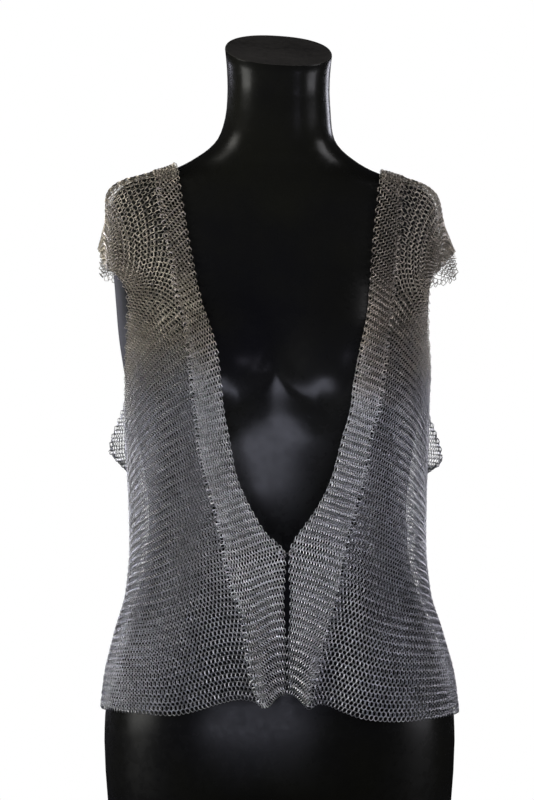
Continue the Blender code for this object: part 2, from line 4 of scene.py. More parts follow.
import bpy
import numpy as np
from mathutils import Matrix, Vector


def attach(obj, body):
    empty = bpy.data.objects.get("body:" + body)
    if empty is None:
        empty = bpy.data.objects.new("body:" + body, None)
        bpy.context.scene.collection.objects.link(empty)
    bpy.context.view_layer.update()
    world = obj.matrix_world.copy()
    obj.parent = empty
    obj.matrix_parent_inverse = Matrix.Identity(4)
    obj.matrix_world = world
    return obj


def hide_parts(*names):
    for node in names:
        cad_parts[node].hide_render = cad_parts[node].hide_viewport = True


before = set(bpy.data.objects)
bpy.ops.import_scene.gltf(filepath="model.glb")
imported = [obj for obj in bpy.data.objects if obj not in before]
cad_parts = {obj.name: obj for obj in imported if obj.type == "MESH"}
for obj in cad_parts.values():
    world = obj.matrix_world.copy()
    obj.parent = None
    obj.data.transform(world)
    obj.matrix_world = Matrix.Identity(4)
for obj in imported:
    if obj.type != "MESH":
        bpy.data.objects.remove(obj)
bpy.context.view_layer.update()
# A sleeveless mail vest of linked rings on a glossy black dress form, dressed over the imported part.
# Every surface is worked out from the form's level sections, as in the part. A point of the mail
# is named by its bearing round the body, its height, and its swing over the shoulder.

# Overall choices of the part, in metres and degrees
LIFT = 0.0028
SEAM_GAP = 0.0005
YOKE_HEIGHT = 0.550
YOKE_BACK_SWING = 150.0
UNDERARM_HEIGHT = 0.3755
SIDE_BEARING = 90.0
BEHIND = 180.0
SIDES = {"right": -1, "left": 1}
USUAL_RADIUS = 0.125
EDGE_TOLERANCE = 0.001
NEAR_HEM = 0.150
FOOT = np.array([NEAR_HEM]), np.array([0.0])
RAY_NEAR, RAY_FAR, RAY_HALVINGS = 0.02, 0.26, 24
SEARCH_BEARING, BEARING_HALVINGS = 80.0, 20

# The rings: pitch along a row and from row to row, radius of a ring's middle line, wire, lean
COLUMN_PITCH, ROW_PITCH = 0.00435, 0.00390
BACK_PITCH = 0.00450
RING_MIDDLE, WIRE = 0.00290, 0.00041
LEAN_PER_PITCH, LEAN_COSINES, WIRE_CLEARANCE = 200.0, (0.44, 0.93), 0.0024
RING_JITTER, TURN_JITTER = 0.00008, 2.0
FREE_INSET, SEAM_INSET = 0.0024, 0.0009
SUBDIVIDE = 4

# How finely each panel is unrolled: rows below the arm, above it, over the shoulder and over the
# back's yoke, then columns
LOW_ROWS, HIGH_ROWS, TURN_ROWS, YOKE_ROWS = 30, 20, 26, 6
FRONT_COLUMNS, BAND_COLUMNS, BACK_COLUMNS = 18, 6, 40

# How far the rows of a front and its shoulder turn down towards the arm: inner and outer degrees
FRONT_TURNS = (
    (0.130, 0, 0, 0),
    (0.170, 0, 2, 2),
    (0.210, 0, 7, 7),
    (0.250, 0, 11, 11),
    (0.290, 0, 14, 15),
    (0.330, 0, 16, 20),
    (0.3755, 0, 18, 30),
    (0.420, 0, 20, 42),
    (0.460, 0, 22, 50),
    (0.505, 0, 26, 55),
    (0.550, 0, 38, 54),
    (0.550, 30, 50, 58),
    (0.550, 60, 66, 72),
    (0.550, 85, 88, 88),
    (0.550, 115, 112, 108),
    (0.550, 150, 150, 150),
)
BAND_TURNS = (
    (0.130, 0, 0, 8),
    (0.180, 0, 2, 24),
    (0.215, 0, 4, 20),
    (0.250, 0, 8, 14),
    (0.290, 0, 12, 14),
    (0.350, 0, 14, 16),
    (0.450, 0, 18, 20),
    (0.505, 0, 24, 26),
    (0.550, 0, 30, 32),
    (0.550, 30, 34, 36),
    (0.550, 60, 30, 30),
    (0.550, 85, 20, 20),
    (0.550, 115, 10, 10),
    (0.550, 150, 0, 0),
)

# Distance between the rings of a row, in millimetres: a front's, then a band's
RING_PITCHES = (
    (0.130, 0, 4.65, 3.20),
    (0.175, 0, 4.55, 2.70),
    (0.210, 0, 4.30, 2.45),
    (0.270, 0, 3.70, 2.45),
    (0.330, 0, 3.10, 2.45),
    (0.400, 0, 2.80, 2.40),
    (0.450, 0, 2.80, 2.45),
    (0.500, 0, 3.00, 2.60),
    (0.550, 0, 3.30, 3.00),
    (0.550, 30, 3.40, 3.20),
    (0.550, 150, 3.60, 3.60),
)

# The fit of the rows, the rings along the edges, and how finely each ring is made
ANCHOR_WEIGHT, CELL_REACH = 10.0, 0.53
NECK_INSET, SEAM_PITCH = 0.0009, 0.0034
OPEN_HEIGHT, WIRE_SIDES = 0.240, 3
OPEN_SEGMENTS, DENSE_SEGMENTS, SHOULDER_SEGMENTS, BACK_SEGMENTS = 8, 5, 7, 5
FRONT_SEED, SEED_STEP, BAND_SEED, BACK_SEED = 11, 10, 41, 41

# Flat cuts of the panels, width and length in metres
HEM_CUT, FRONT_CUT, SHOULDER_CUT = (0.22, 0.13), (0.24, 0.42), (0.13, 0.30)

# The form's mesh: columns and how much closer they are in front, rows between the table's levels,
# the finer rows of the chest (from, to, apart), and the rounding of the neck's rim
FORM_COLUMNS, FRONT_CROWDING, FORM_ROWS_BETWEEN = 150, 0.45, 2
CHEST_ROWS = (0.400, 0.530, 0.0022)
NECK_RIM = ((0.990, 0.0008), (0.972, 0.0012), (0.940, 0.0012))
SHARP_ANGLE = 1.2

# The form's gelcoat and its neck's cut, and where the mail has rubbed it dull
FORM_BLACK, FORM_OLIVE = (0.0035, 0.0035, 0.0045, 1), (0.0070, 0.0070, 0.0050, 1)
FORM_ROUGHNESS, FORM_SPECULAR, RUBBED_ROUGHNESS = (0.20, 0.34), 0.09, 0.65
RIPPLE_SCALE, RIPPLE_STRENGTH, RIPPLE_DEPTH = 22.0, 0.05, 0.004
CAP_COLOURS = (0.006, 0.005, 0.004, 1), (0.013, 0.011, 0.009, 1)
CAP_ROUGHNESS = 0.55, 0.8
RUB_TOP, RUB_EDGE, RUB_INSET, RUB_FADE, RUB_FOOT = 0.66, 0.104, 0.003, 0.006, (0.150, 0.170)
RUB_BEHIND = (0.600, 0.620)

# The steel of the closure, and of the rings, which turns from cool to warm between two heights
BRIGHT_COLOURS = (0.52, 0.50, 0.47, 1), (0.34, 0.32, 0.30, 1)
BRIGHT_ROUGHNESS = 0.18, 0.38
BODY_TONES = {"cool": (0.385, 0.385, 0.405, 1), "warm": (0.40, 0.36, 0.30, 1), "darkest": 0.78}
BAND_TONES = {"cool": (0.62, 0.62, 0.63, 1), "warm": (0.38, 0.34, 0.29, 1), "darkest": 0.82}
WARM_FROM, WARM_TO, LIGHTEST, WIRE_ROUGHNESS = 0.44, 0.53, 1.12, (0.26, 0.36)
STAIN_SWAY, STAIN_SHADES = 0.035, (0.80, 1.12)
FINER, PATCH_RANGE = 9.0, (0.32, 0.68)

# Camera, surround, floor and lights
CAMERA_PLACE, CAMERA_LENS, CAMERA_SENSOR = (-0.0115, -3.0, 0.45), 135.0, 36.0
SURROUND, SURROUND_STRENGTH = (0.80, 0.82, 1.0, 1), 0.015
FLOOR_RADIUS, FLOOR_SIDES, FLOOR_LEVEL = 40.0, 64, -0.0004
FLOOR_SEEN, FLOOR_SHED = (0.90, 0.90, 0.92, 1), (0.06, 0.06, 0.07, 1)
FLOOR_ROUGHNESS, FLOOR_FADE = 0.6, (0.22, 0.38)
MIDDLE = (0.0, 0.0, 0.45)
SOFTBOXES = (
    ("side_right", (-2.2, -0.9, 0.50), (1.0, 1.0), 50.0, (1.0, 1.0, 0.95), MIDDLE),
    ("side_left", (2.2, -0.8, 0.50), (1.0, 1.0), 32.0, (0.94, 0.93, 1.0), MIDDLE),
    ("high_right", (-1.9, -0.3, 2.4), (0.9, 0.9), 24.0, (1.0, 0.98, 0.92), MIDDLE),
    ("high_left", (1.9, -0.2, 2.4), (0.9, 0.9), 20.0, (0.98, 0.97, 1.0), MIDDLE),
    ("neck_strip", (1.0, -1.7, 0.97), (0.3, 0.16), 1.2, (0.80, 0.78, 1.0), (0.0, 0.0, 0.75)),
    ("low_front", (-0.10, -0.90, 0.06), (0.34, 0.9), 13.0, (0.80, 0.82, 1.0), (-0.10, -0.90, 1.0)),
    ("behind_right", (-1.6, 1.7, 0.55), (0.5, 0.45), 18.0, (0.84, 0.84, 1.0), MIDDLE),
    ("behind_left", (1.4, 1.9, 0.8), (0.5, 1.0), 12.0, (0.88, 0.88, 1.0), MIDDLE),
)

# The fold under the chest's two swells, from its middle outwards, in metres
FOLD_MIDDLE, FOLD_END, FOLD_REACH, FOLD_CURVE = 0.474, 0.436, 0.046, 1.7
LIP_DEPTH, LIP_RISE, LIP_FADE, LIP_VALLEY = 0.0022, 0.006, 0.035, 0.008

# Level sections of the form, from the base to the cut of the neck
SECTION_COLUMNS = ("height", "centre_x", "half_width", "front", "back")
FORM_SECTIONS = (
    (0.0000, 0.0010, 0.1660, 0.0880, 0.1060),
    (0.0500, 0.0010, 0.1715, 0.0920, 0.1120),
    (0.1100, 0.0010, 0.1750, 0.0950, 0.1140),
    (0.1350, 0.0010, 0.1743, 0.0960, 0.1110),
    (0.1700, 0.0008, 0.1695, 0.0960, 0.1030),
    (0.2180, 0.0000, 0.1545, 0.0930, 0.0880),
    (0.2590, -0.0005, 0.1390, 0.0880, 0.0780),
    (0.3000, -0.0008, 0.1300, 0.0830, 0.0740),
    (0.3400, -0.0010, 0.1285, 0.0810, 0.0780),
    (0.3850, -0.0015, 0.1335, 0.0860, 0.0880),
    (0.4300, -0.0022, 0.1415, 0.0950, 0.0980),
    (0.4750, -0.0035, 0.1500, 0.1020, 0.1040),
    (0.5200, -0.0060, 0.1542, 0.0990, 0.1050),
    (0.5600, -0.0064, 0.1572, 0.0910, 0.1020),
    (0.6000, -0.0050, 0.1620, 0.0810, 0.0960),
    (0.6200, -0.0045, 0.1635, 0.0760, 0.0920),
    (0.6350, -0.0045, 0.1630, 0.0720, 0.0890),
    (0.6480, -0.0045, 0.1608, 0.0690, 0.0860),
    (0.6580, -0.0045, 0.1548, 0.0660, 0.0830),
    (0.6645, -0.0045, 0.1448, 0.0640, 0.0810),
    (0.6703, -0.0045, 0.1280, 0.0620, 0.0790),
    (0.6765, -0.0045, 0.1065, 0.0600, 0.0760),
    (0.6830, -0.0043, 0.0915, 0.0580, 0.0740),
    (0.6905, -0.0038, 0.0790, 0.0570, 0.0710),
    (0.7000, -0.0030, 0.0665, 0.0550, 0.0680),
    (0.7100, -0.0022, 0.0585, 0.0540, 0.0650),
    (0.7220, -0.0012, 0.0545, 0.0530, 0.0630),
    (0.7400, 0.0000, 0.0520, 0.0520, 0.0610),
    (0.7600, 0.0000, 0.0510, 0.0510, 0.0600),
    (0.7800, 0.0000, 0.0517, 0.0515, 0.0600),
    (0.7980, 0.0000, 0.0535, 0.0520, 0.0600),
)
FORM_SQUARENESS = 2.3

# Level sections that the hanging mail keeps where the form is narrower
HANG_SECTIONS = (
    (0.0000, 0.0010, 0.1500, 0.0800, 0.1000),
    (0.1300, 0.0010, 0.1725, 0.1010, 0.1140),
    (0.1700, 0.0008, 0.1700, 0.1060, 0.1130),
    (0.2180, 0.0000, 0.1588, 0.1110, 0.1100),
    (0.2590, -0.0005, 0.1470, 0.1150, 0.1060),
    (0.3100, -0.0008, 0.1424, 0.1205, 0.1025),
    (0.3500, -0.0010, 0.1428, 0.1245, 0.1020),
    (0.3840, -0.0012, 0.1442, 0.1275, 0.1025),
    (0.4200, -0.0015, 0.1458, 0.1300, 0.1035),
    (0.4500, -0.0020, 0.1465, 0.1300, 0.1040),
    (0.4800, -0.0035, 0.1470, 0.1200, 0.1030),
    (0.5100, -0.0050, 0.1440, 0.1000, 0.0990),
    (0.5500, -0.0055, 0.1380, 0.0750, 0.0900),
    (0.6000, -0.0050, 0.1300, 0.0550, 0.0700),
    (0.8000, 0.0000, 0.0300, 0.0300, 0.0300),
)
HANG_SQUARENESS = 2.8
JOIN_SOFTNESS = 0.004

# The two swells of the chest
BUST_HEIGHT, BUST_X, BUST_DEPTH = 0.478, 0.073, 0.034
BUST_WIDE, BUST_UP, BUST_DOWN = 0.060, 0.078, 0.052

# The shoulders roll a little to one side, and the neck is cut off leaning forwards
SHOULDER_ROLL, NECK_ROLL, NECK_TILT = 0.013, 0.065, 0.38
ROLL_FROM, ROLL_TO = 0.50, 0.64
CUT_FROM, CUT_TO = 0.735, 0.798

# Edges of the two neck bands, as distances sideways in metres
BORDER_COLUMNS = ("height", "swing", "right_neck", "right_seam", "left_neck", "left_seam")
BORDERS = (
    (0.130, 0, 0.0078, -0.0120, 0.0078, 0.0260),
    (0.163, 0, 0.0078, -0.0202, 0.0078, 0.0305),
    (0.186, 0, 0.0078, -0.0279, 0.0078, 0.0358),
    (0.204, 0, 0.0078, -0.0300, 0.0078, 0.0405),
    (0.242, 0, 0.0078, -0.0355, 0.0078, 0.0515),
    (0.275, 0, 0.0078, -0.0470, 0.0080, 0.0590),
    (0.306, 0, 0.0070, -0.0530, 0.0092, 0.0640),
    (0.317, 0, -0.0077, -0.0552, 0.0145, 0.0664),
    (0.337, 0, -0.0211, -0.0596, 0.0292, 0.0715),
    (0.357, 0, -0.0318, -0.0650, 0.0415, 0.0772),
    (0.380, 0, -0.0406, -0.0718, 0.0510, 0.0832),
    (0.413, 0, -0.0466, -0.0776, 0.0592, 0.0874),
    (0.440, 0, -0.0520, -0.0797, 0.0672, 0.0958),
    (0.467, 0, -0.0547, -0.0840, 0.0705, 0.1000),
    (0.498, 0, -0.0585, -0.0865, 0.0765, 0.1040),
    (0.519, 0, -0.0653, -0.0890, 0.0812, 0.1068),
    (0.550, 0, -0.0750, -0.0985, 0.0862, 0.1106),
    (0.550, 20, -0.0820, -0.1030, 0.0893, 0.1145),
    (0.550, 40, -0.0880, -0.1085, 0.0920, 0.1165),
    (0.550, 60, -0.0950, -0.1165, 0.0965, 0.1185),
    (0.550, 75, -0.0995, -0.1205, 0.1000, 0.1215),
    (0.550, 90, -0.1040, -0.1235, 0.1035, 0.1235),
    (0.550, 105, -0.1035, -0.1230, 0.1030, 0.1230),
    (0.550, 120, -0.0990, -0.1190, 0.0990, 0.1190),
    (0.550, 150, -0.0850, -0.1060, 0.0850, 0.1070),
)
SLIT_HALF_WIDTH, SLIT_FOOT, SLIT_MIDDLE, SLIT_HEAD = 0.0026, 0.205, 0.252, 0.312

# Height of the hem in front, by distance sideways, and behind
HEM_FRONT = (
    (-0.176, 0.1432),
    (-0.134, 0.1438),
    (-0.103, 0.1432),
    (-0.078, 0.1486),
    (-0.059, 0.1547),
    (-0.035, 0.1598),
    (-0.017, 0.1560),
    (-0.012, 0.1505),
    (-0.005, 0.1575),
    (0.002, 0.1630),
    (0.011, 0.1628),
    (0.023, 0.1560),
    (0.028, 0.1505),
    (0.034, 0.1565),
    (0.056, 0.1500),
    (0.075, 0.1422),
    (0.113, 0.1370),
    (0.176, 0.1387),
)
HEM_BACK_DROP = 0.003

# Free edges round the armholes, as bearings in degrees
ARMHOLE_FRONT_COLUMNS = ("height", "right", "left")
ARMHOLE_FRONT = (
    (0.3755, -90.0, 90.0),
    (0.4000, -84.0, 88.0),
    (0.4250, -78.0, 86.0),
    (0.4500, -73.5, 83.5),
    (0.4760, -71.0, 81.5),
    (0.5050, -70.0, 80.0),
    (0.5350, -70.0, 79.0),
    (0.5500, -70.5, 79.0),
)
CAP_COLUMNS = ("swing", "right", "left")
CAP_EDGE = (
    (0, -70.5, 79.0),
    (15, -72.5, 79.0),
    (35, -76.0, 79.0),
    (60, -79.0, 79.0),
    (85, -80.0, 79.0),
    (105, -74.0, 74.0),
    (120, -70.0, 70.5),
    (150, -74.0, 74.5),
)
ARMHOLE_BACK_COLUMNS = ("height", "bearing")
ARMHOLE_BACK = (
    (0.3755, 90.0),
    (0.4000, 88.5),
    (0.4300, 84.0),
    (0.4640, 77.0),
    (0.5000, 68.0),
    (0.5500, 61.0),
)
BACK_NECK_DROP, YOKE_RADIUS = 0.020, 0.100

# How far the cap's brow, its rear corner and the corner under the arm stand out to the side
CAP_FROM, CAP_TO, CAP_FADE_FROM, CAP_FADE_TO = 46, 54, 56, 64
CAP_SWING_FROM, CAP_SWING_TO = 15, 70
WING_FROM, WING_TO, WING_SWING_FROM, WING_SWING_TO, WING_CURVE = 54, 74, 75, 142, 1.4
EAR_FROM, EAR_TO, EAR_SWING = 66, 88, 170
STAND_OFF_COLUMNS = ("side", "cap", "wing", "ear", "ear_height", "ear_head")
STAND_OFFS = (
    (-1, 0.0050, 0.0205, 0.0185, 0.3970, 0.470),
    (1, 0.0020, 0.0320, 0.0170, 0.3870, 0.462),
)

# Soft upright folds: where, how wide and deep, and between which heights they fade
FOLD_COLUMNS = ("swing", "bearing", "width", "depth", "foot", "head")
FOLDS = (
    (0, -7.0, 4.5, 0.0035, 0.170, 0.250),
    (0, 14.0, 4.5, 0.0035, 0.170, 0.250),
    (0, -34.0, 9.0, 0.0020, 0.190, 0.330),
    (0, 38.0, 9.0, 0.0020, 0.190, 0.330),
    (180, -38.0, 8.0, 0.0035, 0.240, 0.420),
    (180, 6.0, 9.0, 0.0030, 0.220, 0.400),
    (180, 44.0, 8.0, 0.0035, 0.250, 0.430),
)


def step(low, high, at):
    """Smooth rise from 0 at low to 1 at high."""
    t = np.clip((at - low) / (high - low), 0, 1)
    return t * t * (3 - 2 * t)


def eased(xs, ys, at):
    """Curve through the points (xs, ys) that never overshoots them."""
    xs, ys = np.asarray(xs, float), np.asarray(ys, float)
    gap = np.diff(xs)
    rise = np.diff(ys) / gap
    slope = np.empty_like(ys)
    slope[0], slope[-1] = rise[0], rise[-1]
    near, far = 2 * gap[1:] + gap[:-1], gap[1:] + 2 * gap[:-1]
    same = rise[:-1] * rise[1:] > 0
    before, after = np.where(same, rise[:-1], 1), np.where(same, rise[1:], 1)
    slope[1:-1] = np.where(same, (near + far) / (near / before + far / after), 0)
    at = np.clip(at, xs[0], xs[-1])
    i = np.clip(np.searchsorted(xs, at) - 1, 0, len(gap) - 1)
    t = (at - xs[i]) / gap[i]
    return (
        ys[i] * (1 + 2 * t) * (1 - t) ** 2
        + slope[i] * gap[i] * t * (1 - t) ** 2
        + ys[i + 1] * t * t * (3 - 2 * t)
        + slope[i + 1] * gap[i] * t * t * (t - 1)
    )


def column(table, names, name, at):
    """One named column of a table, read at a value of its first column."""
    k = names.index(name)
    return eased([row[0] for row in table], [row[k] for row in table], at)


def section_radius(table, squareness, bearing, height):
    """Distance from the axis to a squared oval with its own depth in front and behind."""
    front = column(table, SECTION_COLUMNS, "front", height)
    back = column(table, SECTION_COLUMNS, "back", height)
    half_width = column(table, SECTION_COLUMNS, "half_width", height)
    across = np.abs(np.sin(bearing)) / half_width
    along = np.abs(np.cos(bearing)) / np.where(np.cos(bearing) > 0, front, back)
    return (across**squareness + along**squareness) ** (-1 / squareness)


def form_radius(bearing, height):
    """The form's section with the two swells of the chest laid on it."""
    plain = section_radius(FORM_SECTIONS, FORM_SQUARENESS, bearing, height)
    reach = np.where(height > BUST_HEIGHT, BUST_UP, BUST_DOWN)
    swell = 0
    for side in (-1, 1):
        across = (plain * np.sin(bearing) - side * BUST_X) / BUST_WIDE
        away = across**2 + ((height - BUST_HEIGHT) / reach) ** 2
        swell = swell + BUST_DEPTH * np.exp(-(away**1.5))
    return plain + np.where(np.cos(bearing) > 0, swell * np.cos(bearing), 0)


def base_radius(bearing, height):
    """The larger of the form and the hanging mail, with a soft change from one to the other."""
    form = form_radius(bearing, height)
    hang = section_radius(HANG_SECTIONS, HANG_SQUARENESS, bearing, height)
    return (form + hang + np.sqrt((form - hang) ** 2 + JOIN_SOFTNESS**2)) / 2


def centre_x(height):
    return column(FORM_SECTIONS, SECTION_COLUMNS, "centre_x", height)


def lean(x, y, height):
    """How far a point of a section stands above the section's own height."""
    cut = step(CUT_FROM, CUT_TO, height)
    roll = SHOULDER_ROLL * step(ROLL_FROM, ROLL_TO, height) * (1 - cut) + NECK_ROLL * cut
    return NECK_TILT * cut * y - roll * x


def leaned(points):
    x, y, height = points[..., 0], points[..., 1], points[..., 2]
    return np.stack([x, y, height + lean(x, y, height)], axis=-1)


def beyond(points):
    """Level distance of unleaned points outside the base shape."""
    x = points[..., 0] - centre_x(points[..., 2])
    y = points[..., 1]
    return np.hypot(x, y) - base_radius(np.arctan2(x, -y), points[..., 2])


def outward(points, reach=5e-4):
    """Unit normals of the base shape, from differences of its level distance."""
    slopes = [
        beyond(points + reach * axis) - beyond(points - reach * axis) for axis in np.eye(3)
    ]
    normal = np.stack(slopes, axis=-1)
    return normal / np.linalg.norm(normal, axis=-1, keepdims=True)


def on_base(bearing, height, swing):
    """Where the ray of a bearing, height and swing leaves the base shape, by halving."""
    bearing, swing = np.radians(bearing), np.radians(swing)
    bearing, height, swing = np.broadcast_arrays(bearing, height, swing)
    origin = np.stack([centre_x(height), np.zeros_like(height), height], axis=-1)
    direction = np.stack(
        [
            np.sin(bearing),
            -np.cos(bearing) * np.cos(swing),
            np.cos(bearing) * np.sin(swing),
        ],
        axis=-1,
    )
    near, far = np.full(height.shape, RAY_NEAR), np.full(height.shape, RAY_FAR)
    for _ in range(RAY_HALVINGS):
        middle = (near + far) / 2
        inside = beyond(origin + middle[..., None] * direction) < 0
        near, far = np.where(inside, middle, near), np.where(inside, far, middle)
    return origin + near[..., None] * direction


def hang_out(bearing, height, swing):
    """Sideways stand-off of the cap over the shoulder and of the corner under the arm."""
    away = np.abs(bearing)
    cap_share = 1 - step(YOKE_BACK_SWING, BEHIND, swing)
    cap = step(CAP_FROM, CAP_TO, away) * (1 - step(CAP_FADE_FROM, CAP_FADE_TO, away))
    cap = cap * step(CAP_SWING_FROM, CAP_SWING_TO, swing)
    wing = step(WING_FROM, WING_TO, away) ** WING_CURVE
    wing = wing * step(WING_SWING_FROM, WING_SWING_TO, swing)
    ear = step(EAR_FROM, EAR_TO, away) * step(EAR_SWING, BEHIND, swing)
    total = 0
    for row in STAND_OFFS:
        spot = dict(zip(STAND_OFF_COLUMNS, row))
        above = (height - UNDERARM_HEIGHT) / (spot["ear_height"] - UNDERARM_HEIGHT)
        fall = 1 - step(spot["ear_height"], spot["ear_head"], height)
        ear_share = ear * np.clip(above, 0, 1) * fall
        out = (spot["cap"] * cap + spot["wing"] * wing) * cap_share + spot["ear"] * ear_share
        total = total + (bearing * spot["side"] > 0) * spot["side"] * out
    return total


def fold_lift(bearing, height, swing):
    """Outward swell of the soft upright folds."""
    total = 0
    for row in FOLDS:
        fold = dict(zip(FOLD_COLUMNS, row))
        across = np.exp(-(((bearing - fold["bearing"]) / fold["width"]) ** 2))
        along = 1 - step(fold["foot"], fold["head"], height)
        total = total + (swing == fold["swing"]) * fold["depth"] * across * along
    return total


def mail_point(bearing, height, swing, lift=LIFT):
    """A point of the mail's middle surface, lifted off the base shape along its normal."""
    bearing, height, swing = np.broadcast_arrays(bearing, height, swing)
    base = on_base(bearing, height, swing)
    stand = lift + fold_lift(bearing, height, swing)
    point = leaned(base + stand[..., None] * outward(base))
    point[..., 0] += hang_out(bearing, height, swing)
    return point


def bearing_at(x, height, swing):
    """The bearing whose mail point lies at a given distance sideways, by halving."""
    low, high = np.full(np.shape(x), -SEARCH_BEARING), np.full(np.shape(x), SEARCH_BEARING)
    for _ in range(BEARING_HALVINGS):
        middle = (low + high) / 2
        short = mail_point(middle, height, swing)[..., 0] < x
        low, high = np.where(short, middle, low), np.where(short, high, middle)
    return (low + high) / 2


def by_row(table, k, height, swing):
    """One column of a table whose rows are given by height and swing, read at other rows."""
    keys = [row[0] + math.radians(row[1]) for row in table]
    return eased(keys, [row[k] for row in table], height + np.radians(swing))


def border_bearing(name, height, swing):
    """Bearing of a band's edge along rows given by height and swing."""
    x = by_row(BORDERS, BORDER_COLUMNS.index(name), height, swing)
    if name.endswith("neck"):
        sign = SIDES[name.split("_")[0]]
        rise = step(SLIT_FOOT, SLIT_MIDDLE, height) * (1 - step(SLIT_MIDDLE, SLIT_HEAD, height))
        x = x + sign * (SEAM_GAP / 2 + SLIT_HALF_WIDTH * rise)
    return bearing_at(x, height, swing)


def hem_height(bearing, swing):
    """Height of the hem at a bearing, in front where swing is 0 and behind where it is 180."""
    xs, heights = zip(*HEM_FRONT)
    x = mail_point(bearing, np.full(np.shape(bearing), NEAR_HEM), swing)[..., 0]
    front = eased(xs, heights, x)
    sides = np.interp(x, [xs[0], xs[-1]], [heights[0], heights[-1]])
    behind = sides - HEM_BACK_DROP * np.cos(np.radians(bearing)) ** 2
    return np.where(np.asarray(swing) > BEHIND / 2, behind, front)


def front_edge(side, height, swing):
    """Outer edge of a front: the side seam, above it the armhole, and then the shoulder's cap."""
    sign = SIDES[side]
    arm = column(ARMHOLE_FRONT, ARMHOLE_FRONT_COLUMNS, side, height)
    inset = np.degrees(SEAM_GAP / 2 / USUAL_RADIUS) * (height < UNDERARM_HEIGHT + EDGE_TOLERANCE)
    below = np.where(height < UNDERARM_HEIGHT, sign * SIDE_BEARING, arm) - sign * inset
    return np.where(swing > 0, column(CAP_EDGE, CAP_COLUMNS, side, swing), below)


def rows_above(hem):
    """Heights from a hem to the underarm level and from there to the yoke, evenly in each part."""
    share = np.linspace(0, 1, LOW_ROWS + 1)[:, None]
    lower = hem[None, :] + (UNDERARM_HEIGHT - hem[None, :]) * share
    upper = np.linspace(UNDERARM_HEIGHT, YOKE_HEIGHT, HIGH_ROWS + 1)[1:, None]
    return np.concatenate([lower, np.repeat(upper, len(hem), axis=1)])


def up_and_over(columns, foot_ends, inner_edge, outer_edge):
    """A panel from its inner to its outer edge, and from the hem up and over the shoulder.

    The edges give a bearing for rows of height and swing, and the bearings between them are
    evenly spaced. The hem is read between the bearings of the two foot ends.
    """
    share = np.linspace(0, 1, columns + 1)
    foot = foot_ends[0] * (1 - share) + foot_ends[1] * share
    climb = rows_above(hem_height(foot, 0.0))
    fan = np.linspace(0, YOKE_BACK_SWING, TURN_ROWS + 1)[1:]
    height = np.concatenate([climb, np.full((TURN_ROWS, len(share)), YOKE_HEIGHT)])
    swing = np.concatenate([np.zeros(len(climb)), fan])
    inner = inner_edge(height[:, 0], swing)
    outer = outer_edge(height[:, -1], swing)
    bearing = inner[:, None] * (1 - share) + outer[:, None] * share
    return bearing, height, np.repeat(swing[:, None], len(share), axis=1)


def front_grid(side):
    """Front and shoulder of one side, from the band's seam to the side seam and the cap's edge."""
    seam = partial(border_bearing, side + "_seam")
    foot_ends = seam(*FOOT), SIDES[side] * SIDE_BEARING
    return up_and_over(FRONT_COLUMNS, foot_ends, seam, partial(front_edge, side))


def band_grid(side):
    """Neck band of one side, from the neck edge to the seam."""
    edges = [partial(border_bearing, side + part) for part in ("_neck", "_seam")]
    return up_and_over(BAND_COLUMNS, [edge(*FOOT) for edge in edges], *edges)


def back_grid():
    """The back: from side seam to side seam, and from the hem up to the yoke and the neckline."""
    share = np.linspace(-1, 1, BACK_COLUMNS + 1)
    climb = rows_above(hem_height(share * SIDE_BEARING, BEHIND))
    edge = column(ARMHOLE_BACK, ARMHOLE_BACK_COLUMNS, "bearing", climb[:, -1])
    edge = np.where(climb[:, -1] < UNDERARM_HEIGHT, SIDE_BEARING, edge)
    bearing = share[None, :] * edge[:, None]
    top = np.array([YOKE_HEIGHT]), np.array([YOKE_BACK_SWING])
    ends = [column(CAP_EDGE, CAP_COLUMNS, side, top[1])[0] for side in ("right", "left")]
    crown = np.where(share < 0, -share * ends[0], share * ends[1])
    neck = border_bearing("left_neck", *top)[0]
    dip = math.degrees(BACK_NECK_DROP / YOKE_RADIUS) * np.clip(1 - (crown / neck) ** 2, 0, 1)
    rise = np.linspace(0, 1, YOKE_ROWS + 1)[1:, None]
    bearing = np.concatenate([bearing, bearing[-1:] * (1 - rise) + crown[None, :] * rise])
    crest = BEHIND + (YOKE_BACK_SWING + dip[None, :] - BEHIND) * rise
    swing = np.concatenate([np.full(climb.shape, BEHIND), crest])
    height = np.concatenate([climb, np.full(crest.shape, YOKE_HEIGHT)])
    return bearing, height, swing


def row_turn(table, grid):
    """How far a panel's rows turn down towards the arm, in degrees, from inner to outer edge."""
    share = np.linspace(0, 1, grid[0].shape[1])[None, :]
    inner, outer = (by_row(table, k, grid[1][:, 0], grid[2][:, 0])[:, None] for k in (2, 3))
    return inner * (1 - share) + outer * share


def ring_pitch(k, grid):
    """Distance between the rings of a row all over a panel, in metres."""
    pitch = by_row(RING_PITCHES, k, grid[1][:, 0], grid[2][:, 0])[:, None] / 1000
    return np.broadcast_to(pitch, grid[1].shape)


def unit(vectors):
    return vectors / np.linalg.norm(vectors, axis=-1, keepdims=True)


def along(values, axis):
    """Differences of a grid of values or points along one axis, taken about each grid point."""
    return np.gradient(values, axis=axis)


def dot(a, b):
    return np.sum(a * b, axis=-1, keepdims=True)


